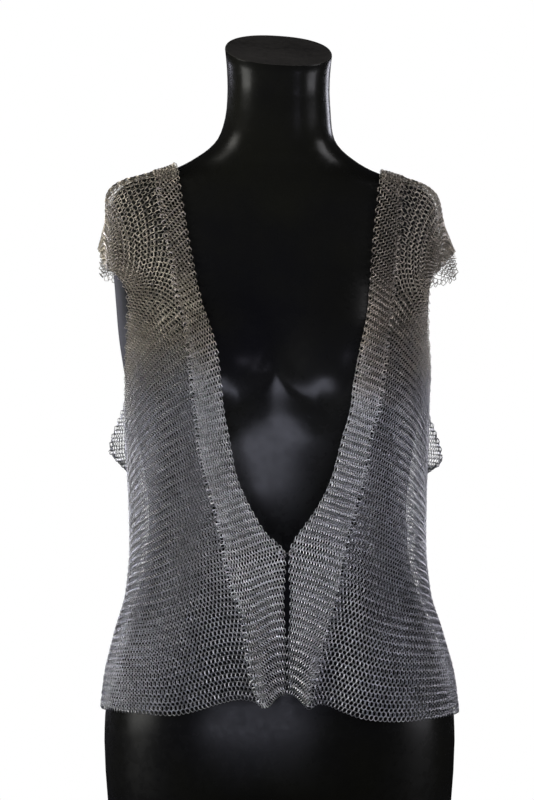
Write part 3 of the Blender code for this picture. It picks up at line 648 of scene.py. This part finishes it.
def unrolled(points, turn, pitches, anchors, edged):
    """Row and column numbers of a grid of points, which grow by one for each ring pitch.

    The wanted gradients are unit vectors across and along the rows, turned by an angle from the
    grid's own rows and divided by the pitch. In an edged panel the columns keep to the grid's own
    columns instead, at the same pitch along the rows. The numbers are the least-squares fit over
    all the edges of the grid, each edge weighted by the width of the strip that it stands for.
    """
    count = points.shape[0] * points.shape[1]
    index = np.arange(count).reshape(points.shape[:2])
    across = unit(along(points, 1))
    rise = unit(along(points, 0))
    up = unit(rise - dot(rise, across) * across)
    turn = np.radians(turn)[..., None]
    ahead = np.cos(turn) * across - np.sin(turn) * up
    level = unit(across - dot(across, rise) * rise) if edged else ahead
    wanted = (
        (np.cos(turn) * up + np.sin(turn) * across) / pitches[0],
        level / (pitches[1][..., None] * dot(level, ahead)),
    )
    reach = [np.linalg.norm(along(points, axis), axis=-1) for axis in (0, 1)]
    numbers = []
    for goal, anchor in zip(wanted, anchors):
        matrix = np.zeros((count, count))
        right_side = np.zeros(count)
        for axis in (0, 1):
            low, high = (slice(None, -1), slice(1, None))
            first = (low, slice(None)) if axis == 0 else (slice(None), low)
            last = (high, slice(None)) if axis == 0 else (slice(None), high)
            edge = points[last] - points[first]
            target = np.sum((goal[first] + goal[last]) / 2 * edge, axis=-1).ravel()
            width = (reach[1 - axis][first] + reach[1 - axis][last]) / 2
            weight = (width / np.linalg.norm(edge, axis=-1)).ravel()
            i, j = index[first].ravel(), index[last].ravel()
            for near, far in ((i, j), (j, i)):
                np.add.at(matrix, (near, near), weight)
                np.add.at(matrix, (near, far), -weight)
            np.add.at(right_side, j, weight * target)
            np.add.at(right_side, i, -weight * target)
        held = index[anchor].ravel()
        matrix[held, held] += ANCHOR_WEIGHT
        numbers.append(np.linalg.solve(matrix, right_side).reshape(points.shape[:2]))
    return numbers


def refined(values):
    """A grid of values divided SUBDIVIDE times more finely both ways, by straight lines."""
    for axis in (0, 1):
        size = values.shape[axis]
        at = np.linspace(0, size - 1, (size - 1) * SUBDIVIDE + 1)
        low = np.minimum(at.astype(int), size - 2)
        part = at - low
        part = part[:, None] if axis == 0 else part[None, :]
        part = part[..., None] if values.ndim == 3 else part
        values = np.take(values, low, axis) * (1 - part) + np.take(values, low + 1, axis) * part
    return values


def sampled(values, at):
    """A fine grid's values at fractional row and column positions, by straight lines."""
    low = np.minimum(at.astype(int), np.array(values.shape[:2]) - 2)
    part = at - low
    i, j = low.T
    p, q = part.T
    if values.ndim == 3:
        p, q = p[:, None], q[:, None]
    lower = values[i, j] * (1 - q) + values[i, j + 1] * q
    upper = values[i + 1, j] * (1 - q) + values[i + 1, j + 1] * q
    return lower * (1 - p) + upper * p


def border_distance(points, axis):
    """Length along the grid from its first border, and from its last one."""
    legs = np.linalg.norm(np.diff(points, axis=axis), axis=-1)
    start = np.zeros_like(np.take(legs, [0], axis))
    run = np.cumsum(np.concatenate([start, legs], axis=axis), axis=axis)
    return run, np.take(run, [-1], axis) - run


def cell_parts(values):
    """A grid's value at the centre of each cell, and its growth up and across the cell."""
    here, above = values[:-1, :-1], values[1:, :-1]
    beside, across = values[:-1, 1:], values[1:, 1:]
    centre = (here + above + beside + across) / 4
    return centre, (above + across - here - beside) / 2, (beside + across - here - above) / 2


def ring_seats(grid, turn, pitches, anchors, insets, edged=False):
    """Where the rings of a panel sit: the crossings of its whole rows and columns.

    Odd rows are shifted by half a column. Each fine cell of the grid is searched for the crossing
    nearest to its centre, by dividing the difference by the cell's own slopes. A seat nearer to a
    border than that border's inset is left out. Returns the seats' places in the panel, their
    pitch vectors along and across the row, and their row numbers.
    """
    points = mail_point(*grid)
    numbers = unrolled(points, turn, pitches, anchors, edged)
    slopes = [[along(number, axis) for axis in (0, 1)] for number in numbers]
    fall = slopes[0][0] * slopes[1][1] - slopes[0][1] * slopes[1][0]
    steps = [along(points, axis) for axis in (0, 1)]
    per_row, per_column = (
        (slopes[n][n][..., None] * steps[k] - slopes[n][k][..., None] * steps[n]) / fall[..., None]
        for k, n in ((0, 1), (1, 0))
    )
    fine = [refined(number) for number in numbers]
    centre, rise, run = zip(*map(cell_parts, fine))
    whole = np.round(centre[0])
    shift = 0.5 * np.mod(whole, 2)
    place = np.round(centre[1] - shift) + shift
    off = whole - centre[0], place - centre[1]
    size = rise[0] * run[1] - run[0] * rise[1]
    step_i = (off[0] * run[1] - off[1] * run[0]) / size
    step_j = (off[1] * rise[0] - off[0] * rise[1]) / size
    here = np.maximum(np.abs(step_i), np.abs(step_j)) <= CELL_REACH
    i, j = np.nonzero(here)
    at = np.stack([i + 0.5 + step_i[here], j + 0.5 + step_j[here]], axis=-1)
    names = np.stack([whole[here], 2 * place[here]], axis=-1).astype(int)
    names, first = np.unique(names, axis=0, return_index=True)
    at = np.clip(at[first], 0, np.array(fine[0].shape) - 1.0)
    clear = np.ones(len(at), bool)
    for axis in (0, 1):
        for distance, inset in zip(border_distance(points, axis), insets[axis]):
            clear &= sampled(refined(distance), at) >= inset
    at, names = at[clear], names[clear]
    place = [sampled(refined(part), at) for part in grid]
    vectors = [sampled(refined(part), at) for part in (per_column, per_row)]
    return place, vectors, names[:, 0]


def ring_faces(count, segments, sides):
    """Quads of many rings, each a closed tube of four-sided faces numbered ring after ring."""
    one = np.arange(segments * sides).reshape(segments, sides)
    turned = np.roll(one, -1, axis=0)
    quads = np.stack(
        [one, turned, np.roll(turned, -1, axis=1), np.roll(one, -1, axis=1)], axis=-1
    ).reshape(-1, 4)
    return (quads[None] + (np.arange(count) * segments * sides)[:, None, None]).reshape(-1, 4)


def keep_values(mesh, name, values):
    """Keeps one number for each vertex on a mesh, which its finish reads."""
    kept = mesh.attributes.new(name, "FLOAT", "POINT")
    kept.data.foreach_set("value", values.astype(np.float32).ravel())


def linked_object(name, data):
    thing = bpy.data.objects.new(name, data)
    bpy.context.collection.objects.link(thing)
    return thing


def array_mesh(name, points, quads):
    """A mesh of four-sided faces put in as whole arrays, shaded smooth."""
    mesh = bpy.data.meshes.new(name)
    mesh.vertices.add(len(points))
    mesh.vertices.foreach_set("co", points.astype(np.float32).ravel())
    mesh.loops.add(quads.size)
    mesh.loops.foreach_set("vertex_index", quads.astype(np.int32).ravel())
    mesh.polygons.add(len(quads))
    mesh.polygons.foreach_set("loop_start", np.arange(0, quads.size, 4, dtype=np.int32))
    mesh.update(calc_edges=True)
    mesh.shade_smooth()
    return mesh


def linked_rings(name, seats, segments, seed, finish, lean_sign):
    """Many rings as one piece, each a circle of wire carried along its own middle line.

    A ring lies in the plane of the cross-row direction and of the row direction leaned out of the
    cloth, one way in even rows and the other way in odd ones, more where the rows are drawn
    together. Its wire has three sides. Small shifts and turns, from a fixed seed, keep the rings
    from looking stamped. A tone from 0 to 1 is kept on each ring for its finish.
    """
    (bearing, height, swing), (per_column, per_row), rows = seats
    draw = np.random.default_rng(seed)
    count = len(rows)
    out = unit(np.cross(per_column, per_row)) * lean_sign
    ahead = unit(per_column)
    cross = np.cross(out, ahead)
    lean = np.arccos(np.clip(LEAN_PER_PITCH * np.linalg.norm(per_column, axis=-1), *LEAN_COSINES))
    depth = RING_MIDDLE * np.sin(lean) + WIRE
    middle = mail_point(bearing, height, swing, LIFT + np.maximum(depth - WIRE_CLEARANCE, 0))
    lean = lean + np.radians(TURN_JITTER * draw.standard_normal(count))
    lean = lean * np.where(np.mod(rows, 2) == 0, 1, -1)
    tip = np.radians(TURN_JITTER * draw.standard_normal(count))
    flat = np.cos(lean)[:, None] * ahead + np.sin(lean)[:, None] * out
    normal = np.cos(lean)[:, None] * out - np.sin(lean)[:, None] * ahead
    tall = np.cos(tip)[:, None] * cross + np.sin(tip)[:, None] * normal
    normal = np.cross(flat, tall)
    middle = middle + RING_JITTER * draw.standard_normal((count, 3))
    angle = np.arange(segments) * 2 * math.pi / segments
    spoke = (
        np.cos(angle)[None, :, None] * flat[:, None] + np.sin(angle)[None, :, None] * tall[:, None]
    )
    turn = np.arange(WIRE_SIDES) * 2 * math.pi / WIRE_SIDES
    reach = RING_MIDDLE + WIRE * np.cos(turn)
    points = (
        middle[:, None, None]
        + spoke[:, :, None] * reach[None, None, :, None]
        + normal[:, None, None] * (WIRE * np.sin(turn))[None, None, :, None]
    )
    mesh = array_mesh(name, points.reshape(-1, 3), ring_faces(count, segments, WIRE_SIDES))
    keep_values(mesh, "ring_tone", np.repeat(draw.random(count), segments * WIRE_SIDES))
    mesh.materials.append(finish)
    piece = linked_object(name, mesh)
    piece["faces_per_ring"] = segments * WIRE_SIDES
    return piece


def new_group(name, inputs, outputs):
    """An empty shader group with named inputs (name, socket type, value) and outputs."""
    group = bpy.data.node_groups.new(name, "ShaderNodeTree")
    for label, kind, value in inputs:
        socket = group.interface.new_socket(label, in_out="INPUT", socket_type=kind)
        socket.default_value = value
    for label, kind in outputs:
        group.interface.new_socket(label, in_out="OUTPUT", socket_type=kind)
    return group, group.nodes.new("NodeGroupInput"), group.nodes.new("NodeGroupOutput")


def add_node(tree, kind, inputs=None, **settings):
    """A node with its settings, and its inputs set to a value or linked from a socket."""
    node = tree.nodes.new("ShaderNode" + kind)
    for key, value in settings.items():
        setattr(node, key, value)
    for key, value in (inputs or {}).items():
        if isinstance(value, bpy.types.NodeSocket):
            tree.links.new(value, node.inputs[key])
        else:
            node.inputs[key].default_value = value
    return node


def mixed(tree, factor, first, second, blend="MIX"):
    """Colour output of a mix of two colours or colour sockets."""
    mix = add_node(tree, "Mix", data_type="RGBA", blend_type=blend)
    for index, value in ((0, factor), (6, first), (7, second)):
        if isinstance(value, bpy.types.NodeSocket):
            tree.links.new(value, mix.inputs[index])
        else:
            mix.inputs[index].default_value = value
    return mix.outputs[2]


def spread_value(tree, value, low, high, to_low, to_high):
    """Output of a clamped straight change of one range into another."""
    inputs = {"Value": value, "From Min": low, "From Max": high, "To Min": to_low, "To Max": to_high}
    return add_node(tree, "MapRange", inputs).outputs["Result"]


def cloud_group():
    """Soft patches at two scales, from 0 to 1, for stains, handling marks and dust."""
    inputs = [("Scale", "NodeSocketFloat", 8.0), ("Fine Share", "NodeSocketFloat", 0.3)]
    group, given, result = new_group("soft_patches", inputs, [("Mask", "NodeSocketFloat")])
    place = add_node(group, "TexCoord").outputs["Object"]
    scale = given.outputs["Scale"]
    finer = add_node(group, "Math", {0: scale, 1: FINER}, operation="MULTIPLY").outputs[0]
    broad = add_node(group, "TexNoise", {"Vector": place, "Scale": scale, "Detail": 3.0})
    fine = add_node(group, "TexNoise", {"Vector": place, "Scale": finer, "Detail": 2.0})
    both = add_node(group, "Mix", {0: given.outputs["Fine Share"]}, data_type="FLOAT")
    group.links.new(broad.outputs["Fac"], both.inputs[2])
    group.links.new(fine.outputs["Fac"], both.inputs[3])
    even = spread_value(group, both.outputs[0], *PATCH_RANGE, 0.0, 1.0)
    group.links.new(even, result.inputs["Mask"])
    return group


def placed(tree, group, **inputs):
    """A node group placed in a material with its own values."""
    node = tree.nodes.new("ShaderNodeGroup")
    node.node_tree = group
    for key, value in inputs.items():
        node.inputs[key.replace("_", " ").title()].default_value = value
    return node


def ring_tone_group(patches):
    """Colour and roughness of steel wire: a cool tone low down and a warm one over the shoulders,
    each ring a little lighter or darker, with broad stains."""
    inputs = [
        ("Cool", "NodeSocketColor", (0.3, 0.3, 0.3, 1)),
        ("Warm", "NodeSocketColor", (0.3, 0.3, 0.3, 1)),
        ("Change Foot", "NodeSocketFloat", WARM_FROM),
        ("Change Head", "NodeSocketFloat", WARM_TO),
        ("Darkest", "NodeSocketFloat", 0.7),
    ]
    outputs = [("Color", "NodeSocketColor"), ("Roughness", "NodeSocketFloat")]
    group, given, result = new_group("steel_wire_tone", inputs, outputs)
    place = add_node(group, "TexCoord").outputs["Object"]
    height = add_node(group, "SeparateXYZ", {0: place}).outputs["Z"]
    stain = placed(group, patches, scale=7.0, fine_share=0.35).outputs["Mask"]
    sway = spread_value(group, stain, 0.0, 1.0, -STAIN_SWAY, STAIN_SWAY)
    swayed = add_node(group, "Math", {0: height, 1: sway}, operation="ADD").outputs[0]
    ends = {"From Min": given.outputs["Change Foot"], "From Max": given.outputs["Change Head"]}
    change = add_node(
        group, "MapRange", {"Value": swayed, **ends}, interpolation_type="SMOOTHSTEP"
    ).outputs["Result"]
    base = mixed(group, change, given.outputs["Cool"], given.outputs["Warm"])
    tone = add_node(group, "Attribute", attribute_name="ring_tone").outputs["Fac"]
    shade = add_node(
        group, "MapRange", {"Value": tone, "To Min": given.outputs["Darkest"], "To Max": LIGHTEST}
    ).outputs["Result"]
    stained = spread_value(group, stain, 0.0, 1.0, *STAIN_SHADES)
    level = add_node(group, "Math", {0: shade, 1: stained}, operation="MULTIPLY").outputs[0]
    grey = add_node(group, "CombineXYZ", {0: level, 1: level, 2: level}).outputs[0]
    group.links.new(mixed(group, 1.0, base, grey, "MULTIPLY"), result.inputs["Color"])
    fine = placed(group, patches, scale=60.0, fine_share=0.5).outputs["Mask"]
    roughness = spread_value(group, fine, 0.0, 1.0, *WIRE_ROUGHNESS)
    group.links.new(roughness, result.inputs["Roughness"])
    return group


def new_finish(name):
    finish = bpy.data.materials.new(name)
    finish.use_nodes = True
    return finish, finish.node_tree, finish.node_tree.nodes["Principled BSDF"]


def ring_finish(name, tone_group, tones):
    """Steel wire rings: metal whose tone comes from the shared group."""
    finish, tree, shader = new_finish(name)
    tone = placed(tree, tone_group, **tones)
    tree.links.new(tone.outputs["Color"], shader.inputs["Base Color"])
    tree.links.new(tone.outputs["Roughness"], shader.inputs["Roughness"])
    shader.inputs["Metallic"].default_value = 1.0
    return finish


def gloss_finish(patches):
    """The form's black gelcoat: nearly black, an olive cast in patches, a soft gloss."""
    finish, tree, shader = new_finish("black_gelcoat")
    cast = placed(tree, patches, scale=5.0, fine_share=0.1).outputs["Mask"]
    black = mixed(tree, cast, FORM_BLACK, FORM_OLIVE)
    tree.links.new(black, shader.inputs["Base Color"])
    rub = placed(tree, patches, scale=14.0, fine_share=0.4).outputs["Mask"]
    shine = spread_value(tree, rub, 0.0, 1.0, *FORM_ROUGHNESS)
    worn = add_node(tree, "Attribute", attribute_name="under_mail").outputs["Fac"]
    rubbed = add_node(tree, "Mix", {0: worn, 3: RUBBED_ROUGHNESS}, data_type="FLOAT")
    tree.links.new(shine, rubbed.inputs[2])
    tree.links.new(rubbed.outputs[0], shader.inputs["Roughness"])
    shader.inputs["Specular IOR Level"].default_value = FORM_SPECULAR
    place = add_node(tree, "TexCoord").outputs["Object"]
    ripple = add_node(tree, "TexNoise", {"Vector": place, "Scale": RIPPLE_SCALE, "Detail": 1.0})
    shape = {"Strength": RIPPLE_STRENGTH, "Distance": RIPPLE_DEPTH}
    bump = add_node(tree, "Bump", {"Height": ripple.outputs["Fac"], **shape})
    tree.links.new(bump.outputs["Normal"], shader.inputs["Normal"])
    return finish


def patched_finish(name, patches, scale, colours, roughness, metallic):
    """A finish whose colour and roughness change together, in patches, between two values."""
    finish, tree, shader = new_finish(name)
    patch = placed(tree, patches, scale=scale, fine_share=0.5).outputs["Mask"]
    tree.links.new(mixed(tree, patch, *colours), shader.inputs["Base Color"])
    tree.links.new(spread_value(tree, patch, 0.0, 1.0, *roughness), shader.inputs["Roughness"])
    shader.inputs["Metallic"].default_value = metallic
    return finish


def cap_finish(patches):
    """The flat cut of the neck: dull black-brown, a little dusty."""
    return patched_finish("dull_neck_cap", patches, 20.0, CAP_COLOURS, CAP_ROUGHNESS, 0.0)


def bright_finish(patches):
    """The closure's bright steel wire, dulled in places."""
    name = "bright_steel_wire"
    return patched_finish(name, patches, 120.0, BRIGHT_COLOURS, BRIGHT_ROUGHNESS, 1.0)


def chest_lip(x, bearing, height):
    """Outward swell of a low lip along the fold under the chest's two swells.

    The fold falls from its middle to its two ends by a power of the share of its reach. The lip
    rises within LIP_RISE above it, fades out higher up and at its ends, and leaves the middle
    of the chest as a valley.
    """
    share = np.clip(np.abs(x) / FOLD_REACH, 0, 1)
    fold = FOLD_END + (FOLD_MIDDLE - FOLD_END) * (1 - share) ** FOLD_CURVE
    above = height - fold
    rise = step(0, LIP_RISE, above) * (1 - step(LIP_RISE, LIP_FADE, above))
    valley = 1 - np.exp(-((x / LIP_VALLEY) ** 2))
    return LIP_DEPTH * rise * valley * (1 - step(0.8, 1, share)) * (np.cos(bearing) > 0)


def under_mail(points):
    """Share from 0 to 1 by which the mail lies on a point of the form and rubs it dull.

    In front it grows from 0 to 1 outwards from the neck bands' inner edges, which above the yoke
    run on to the shoulder's top; behind it covers all below the neckline; it ends at the hem.
    """
    x, y, height = points[..., 0], points[..., 1], points[..., 2]
    rows = [row for row in BORDERS if row[1] == 0]
    heights = [row[0] for row in rows] + [RUB_TOP]
    front = 0
    for name, sign in (("right_neck", -1), ("left_neck", 1)):
        k = BORDER_COLUMNS.index(name)
        edge = eased(heights, [row[k] for row in rows] + [sign * RUB_EDGE], height)
        front = front + step(0, RUB_FADE, sign * (x - edge) - RUB_INSET)
    behind = 1 - step(*RUB_BEHIND, height)
    return np.where(y > 0, np.maximum(behind, front), front) * step(*RUB_FOOT, height)


def form_surface(gloss, cap):
    """The form: its level sections on a grid of bearing and height, leaned, with its two ends cut
    flat. The rim of the neck is rounded by three rows that draw in and rise by thousandths."""
    table = np.array([row[0] for row in FORM_SECTIONS])
    marks = np.linspace(0, len(table) - 1, (len(table) - 1) * FORM_ROWS_BETWEEN + 1)
    heights = np.interp(marks, np.arange(len(table)), table)
    fine = np.arange(*CHEST_ROWS)
    heights = np.sort(np.concatenate([heights[(heights < fine[0]) | (heights > fine[-1])], fine]))
    lap = np.linspace(-math.pi, math.pi, FORM_COLUMNS, endpoint=False)
    bearing, height = np.meshgrid(lap - FRONT_CROWDING * np.sin(lap), heights)
    radius = form_radius(bearing, height)
    radius = radius + chest_lip(radius * np.sin(bearing), bearing, height)
    x = centre_x(height) + radius * np.sin(bearing)
    points = leaned(np.stack([x, -radius * np.cos(bearing), height], axis=-1))
    top = points[-1]
    centre = top.mean(axis=0)
    rim = np.stack([centre + (top - centre) * share + [0, 0, rise] for share, rise in NECK_RIM])
    points = np.concatenate([points, rim])
    rows, columns = points.shape[:2]
    index = np.arange(rows * columns).reshape(rows, columns)
    ahead = np.roll(index, -1, axis=1)
    quads = np.stack([index[:-1], ahead[:-1], ahead[1:], index[1:]], axis=-1).reshape(-1, 4)
    faces = quads.tolist() + [index[0][::-1].tolist(), index[-1].tolist()]
    mesh = bpy.data.meshes.new("form_surface")
    mesh.from_pydata(points.reshape(-1, 3).tolist(), [], faces)
    mesh.update()
    mesh.shade_smooth()
    mesh.set_sharp_from_angle(angle=SHARP_ANGLE)
    keep_values(mesh, "under_mail", under_mail(points))
    mesh.materials.append(gloss)
    mesh.materials.append(cap)
    cap_rows = (len(NECK_RIM) - 1) * columns
    slots = np.zeros(len(mesh.polygons), dtype=np.int32)
    slots[-2 - cap_rows : -2] = 1
    slots[-1] = 1
    mesh.polygons.foreach_set("material_index", slots)
    return linked_object("form_surface", mesh)


def chosen(seats, mask):
    """The seats of a panel that a mask picks."""
    place, vectors, rows = seats
    return [part[mask] for part in place], [part[mask] for part in vectors], rows[mask]


def joined(first, second):
    """The seats of two sets of rings as one."""
    place, vectors = ([np.concatenate(pair) for pair in zip(first[k], second[k])] for k in (0, 1))
    return place, vectors, np.concatenate([first[2], second[2]])


def seam_seats(grid):
    """A chain of rings along a band's outer edge, evenly spaced by the length run along it."""
    points = mail_point(*grid)
    line = points[:, -1]
    run = np.concatenate([[0], np.cumsum(np.linalg.norm(np.diff(line, axis=0), axis=-1))])
    at = np.arange(SEAM_PITCH, run[-1] - SEAM_INSET, SEAM_PITCH)
    place = [np.interp(at, run, part[:, -1]) for part in grid]
    ways = unit(along(points, 0))[:, -1] * SEAM_PITCH, -unit(along(points, 1))[:, -1]
    vectors = [np.stack([np.interp(at, run, way[:, k]) for k in range(3)], axis=-1) for way in ways]
    return place, vectors, np.arange(len(at))


def dress(piece, node):
    """Hangs a ring piece on the root body and hides the part's node that it takes the place of.

    Laid out flat and open, the mail takes one natural pitch each way for each ring.
    """
    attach(piece, "root")
    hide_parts(node)


def add_light(name, place, size, power, colour, aim):
    light = bpy.data.lights.new(name, "AREA")
    light.shape = "RECTANGLE"
    light.size, light.size_y = size
    light.energy = power
    light.color = colour
    lamp = linked_object(name, light)
    lamp.visible_camera = False
    lamp.location = place
    lamp.rotation_euler = (Vector(aim) - Vector(place)).to_track_quat("-Z", "Y").to_euler()


def add_studio():
    """Camera square on to the form's front, a pale floor, a white surround and softboxes."""
    camera = bpy.data.cameras.new("camera")
    camera.lens, camera.sensor_width = CAMERA_LENS, CAMERA_SENSOR
    eye = linked_object("camera", camera)
    eye.location = CAMERA_PLACE
    eye.rotation_euler = (math.pi / 2, 0, 0)
    bpy.context.scene.camera = eye
    bpy.context.scene.view_settings.view_transform = "Standard"
    for light in SOFTBOXES:
        add_light(*light)
    world = bpy.context.scene.world or bpy.data.worlds.new("surround")
    bpy.context.scene.world = world
    world.use_nodes = True
    tree = world.node_tree
    tree.nodes.clear()
    seen = add_node(tree, "Background", {"Color": (1, 1, 1, 1), "Strength": 1.0})
    shed = add_node(tree, "Background", {"Color": SURROUND, "Strength": SURROUND_STRENGTH})
    direct = add_node(tree, "LightPath").outputs["Is Camera Ray"]
    both = add_node(tree, "MixShader", {0: direct, 1: shed.outputs[0], 2: seen.outputs[0]})
    output = tree.nodes.new("ShaderNodeOutputWorld")
    tree.links.new(both.outputs[0], output.inputs["Surface"])
    angle = np.linspace(0, 2 * math.pi, FLOOR_SIDES, endpoint=False)
    edge = np.stack([np.cos(angle), np.sin(angle), 0 * angle], axis=-1) * FLOOR_RADIUS
    mesh = bpy.data.meshes.new("floor")
    mesh.from_pydata((edge + [0, 0, FLOOR_LEVEL]).tolist(), [], [tuple(range(FLOOR_SIDES))])
    floor = linked_object("floor", mesh)
    finish, tree, shader = new_finish("pale_floor")
    place = add_node(tree, "TexCoord").outputs["Object"]
    away = add_node(tree, "VectorMath", {0: place}, operation="LENGTH").outputs["Value"]
    far = spread_value(tree, away, *FLOOR_FADE, 0.0, 1.0)
    direct = add_node(tree, "LightPath").outputs["Is Camera Ray"]
    glow = add_node(tree, "Emission", {"Color": (1, 1, 1, 1), "Strength": direct})
    shed = mixed(tree, direct, FLOOR_SHED, FLOOR_SEEN)
    tree.links.new(shed, shader.inputs["Base Color"])
    shader.inputs["Roughness"].default_value = FLOOR_ROUGHNESS
    blend = add_node(tree, "MixShader", {0: far, 1: shader.outputs[0], 2: glow.outputs[0]})
    tree.links.new(blend.outputs[0], tree.nodes["Material Output"].inputs["Surface"])
    mesh.materials.append(finish)


add_studio()
patches = cloud_group()
wire_tone = ring_tone_group(patches)
body_finish = ring_finish("mail_rings_body", wire_tone, BODY_TONES)
band_finish = ring_finish("mail_rings_band", wire_tone, BAND_TONES)
form = form_surface(gloss_finish(patches), cap_finish(patches))
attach(form, "root")
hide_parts("dress_form")

HEM_ROW = (slice(0, 1), slice(None))
FIRST_COLUMN = (slice(None), slice(0, 1))
ONE_POINT = (slice(0, 1), slice(0, 1))
for number, (side, lean_sign) in enumerate(SIDES.items()):
    grid = front_grid(side)
    turn = row_turn(FRONT_TURNS, grid)
    insets = (FREE_INSET, SEAM_INSET), (SEAM_INSET, FREE_INSET)
    pitches = ROW_PITCH, ring_pitch(2, grid)
    seats = ring_seats(grid, turn, pitches, (HEM_ROW, ONE_POINT), insets)
    over = seats[0][2] > 0
    hem = seats[0][1] < OPEN_HEIGHT
    parts = (
        ("mail_hem_", "front_", hem, OPEN_SEGMENTS, "mail_body", HEM_CUT),
        ("mail_front_", "front_", ~hem & ~over, DENSE_SEGMENTS, "mail_body", FRONT_CUT),
        ("mail_shoulder_", "shoulder_", over, SHOULDER_SEGMENTS, "mail_shoulder", SHOULDER_CUT),
    )
    for k, (name, node, mask, segments, slot, cut) in enumerate(parts):
        picked = chosen(seats, mask)
        seed = FRONT_SEED + SEED_STEP * k + number
        piece = linked_rings(name + side, picked, segments, seed, body_finish, lean_sign)
        dress(piece, node + side)
    grid = band_grid(side)
    turn = row_turn(BAND_TURNS, grid)
    insets = (FREE_INSET, SEAM_INSET), (NECK_INSET, SEAM_INSET)
    pitches = ROW_PITCH, ring_pitch(3, grid)
    seats = ring_seats(grid, turn, pitches, (HEM_ROW, FIRST_COLUMN), insets, edged=True)
    seats = joined(seats, seam_seats(grid))
    seed = BAND_SEED + number
    band = linked_rings("mail_band_" + side, seats, DENSE_SEGMENTS, seed, band_finish, lean_sign)
    dress(band, "neck_band_" + side)

grid = back_grid()
insets = (FREE_INSET, SEAM_INSET), (SEAM_INSET, SEAM_INSET)
pitches = ROW_PITCH, np.full(grid[0].shape, BACK_PITCH)
seats = ring_seats(grid, np.zeros(grid[0].shape), pitches, (HEM_ROW, ONE_POINT), insets)
split = int(np.median(seats[2]))
for part, mask in (("lower", seats[2] <= split), ("upper", seats[2] > split)):
    picked = chosen(seats, mask)
    back = linked_rings("mail_back_" + part, picked, BACK_SEGMENTS, BACK_SEED, body_finish, -1)
    dress(back, "back_panel")

closure = bright_finish(patches)
for node in ("closure_ring_right", "closure_ring_left", "closure_hook"):
    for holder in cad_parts[node].material_slots:
        holder.material = closure
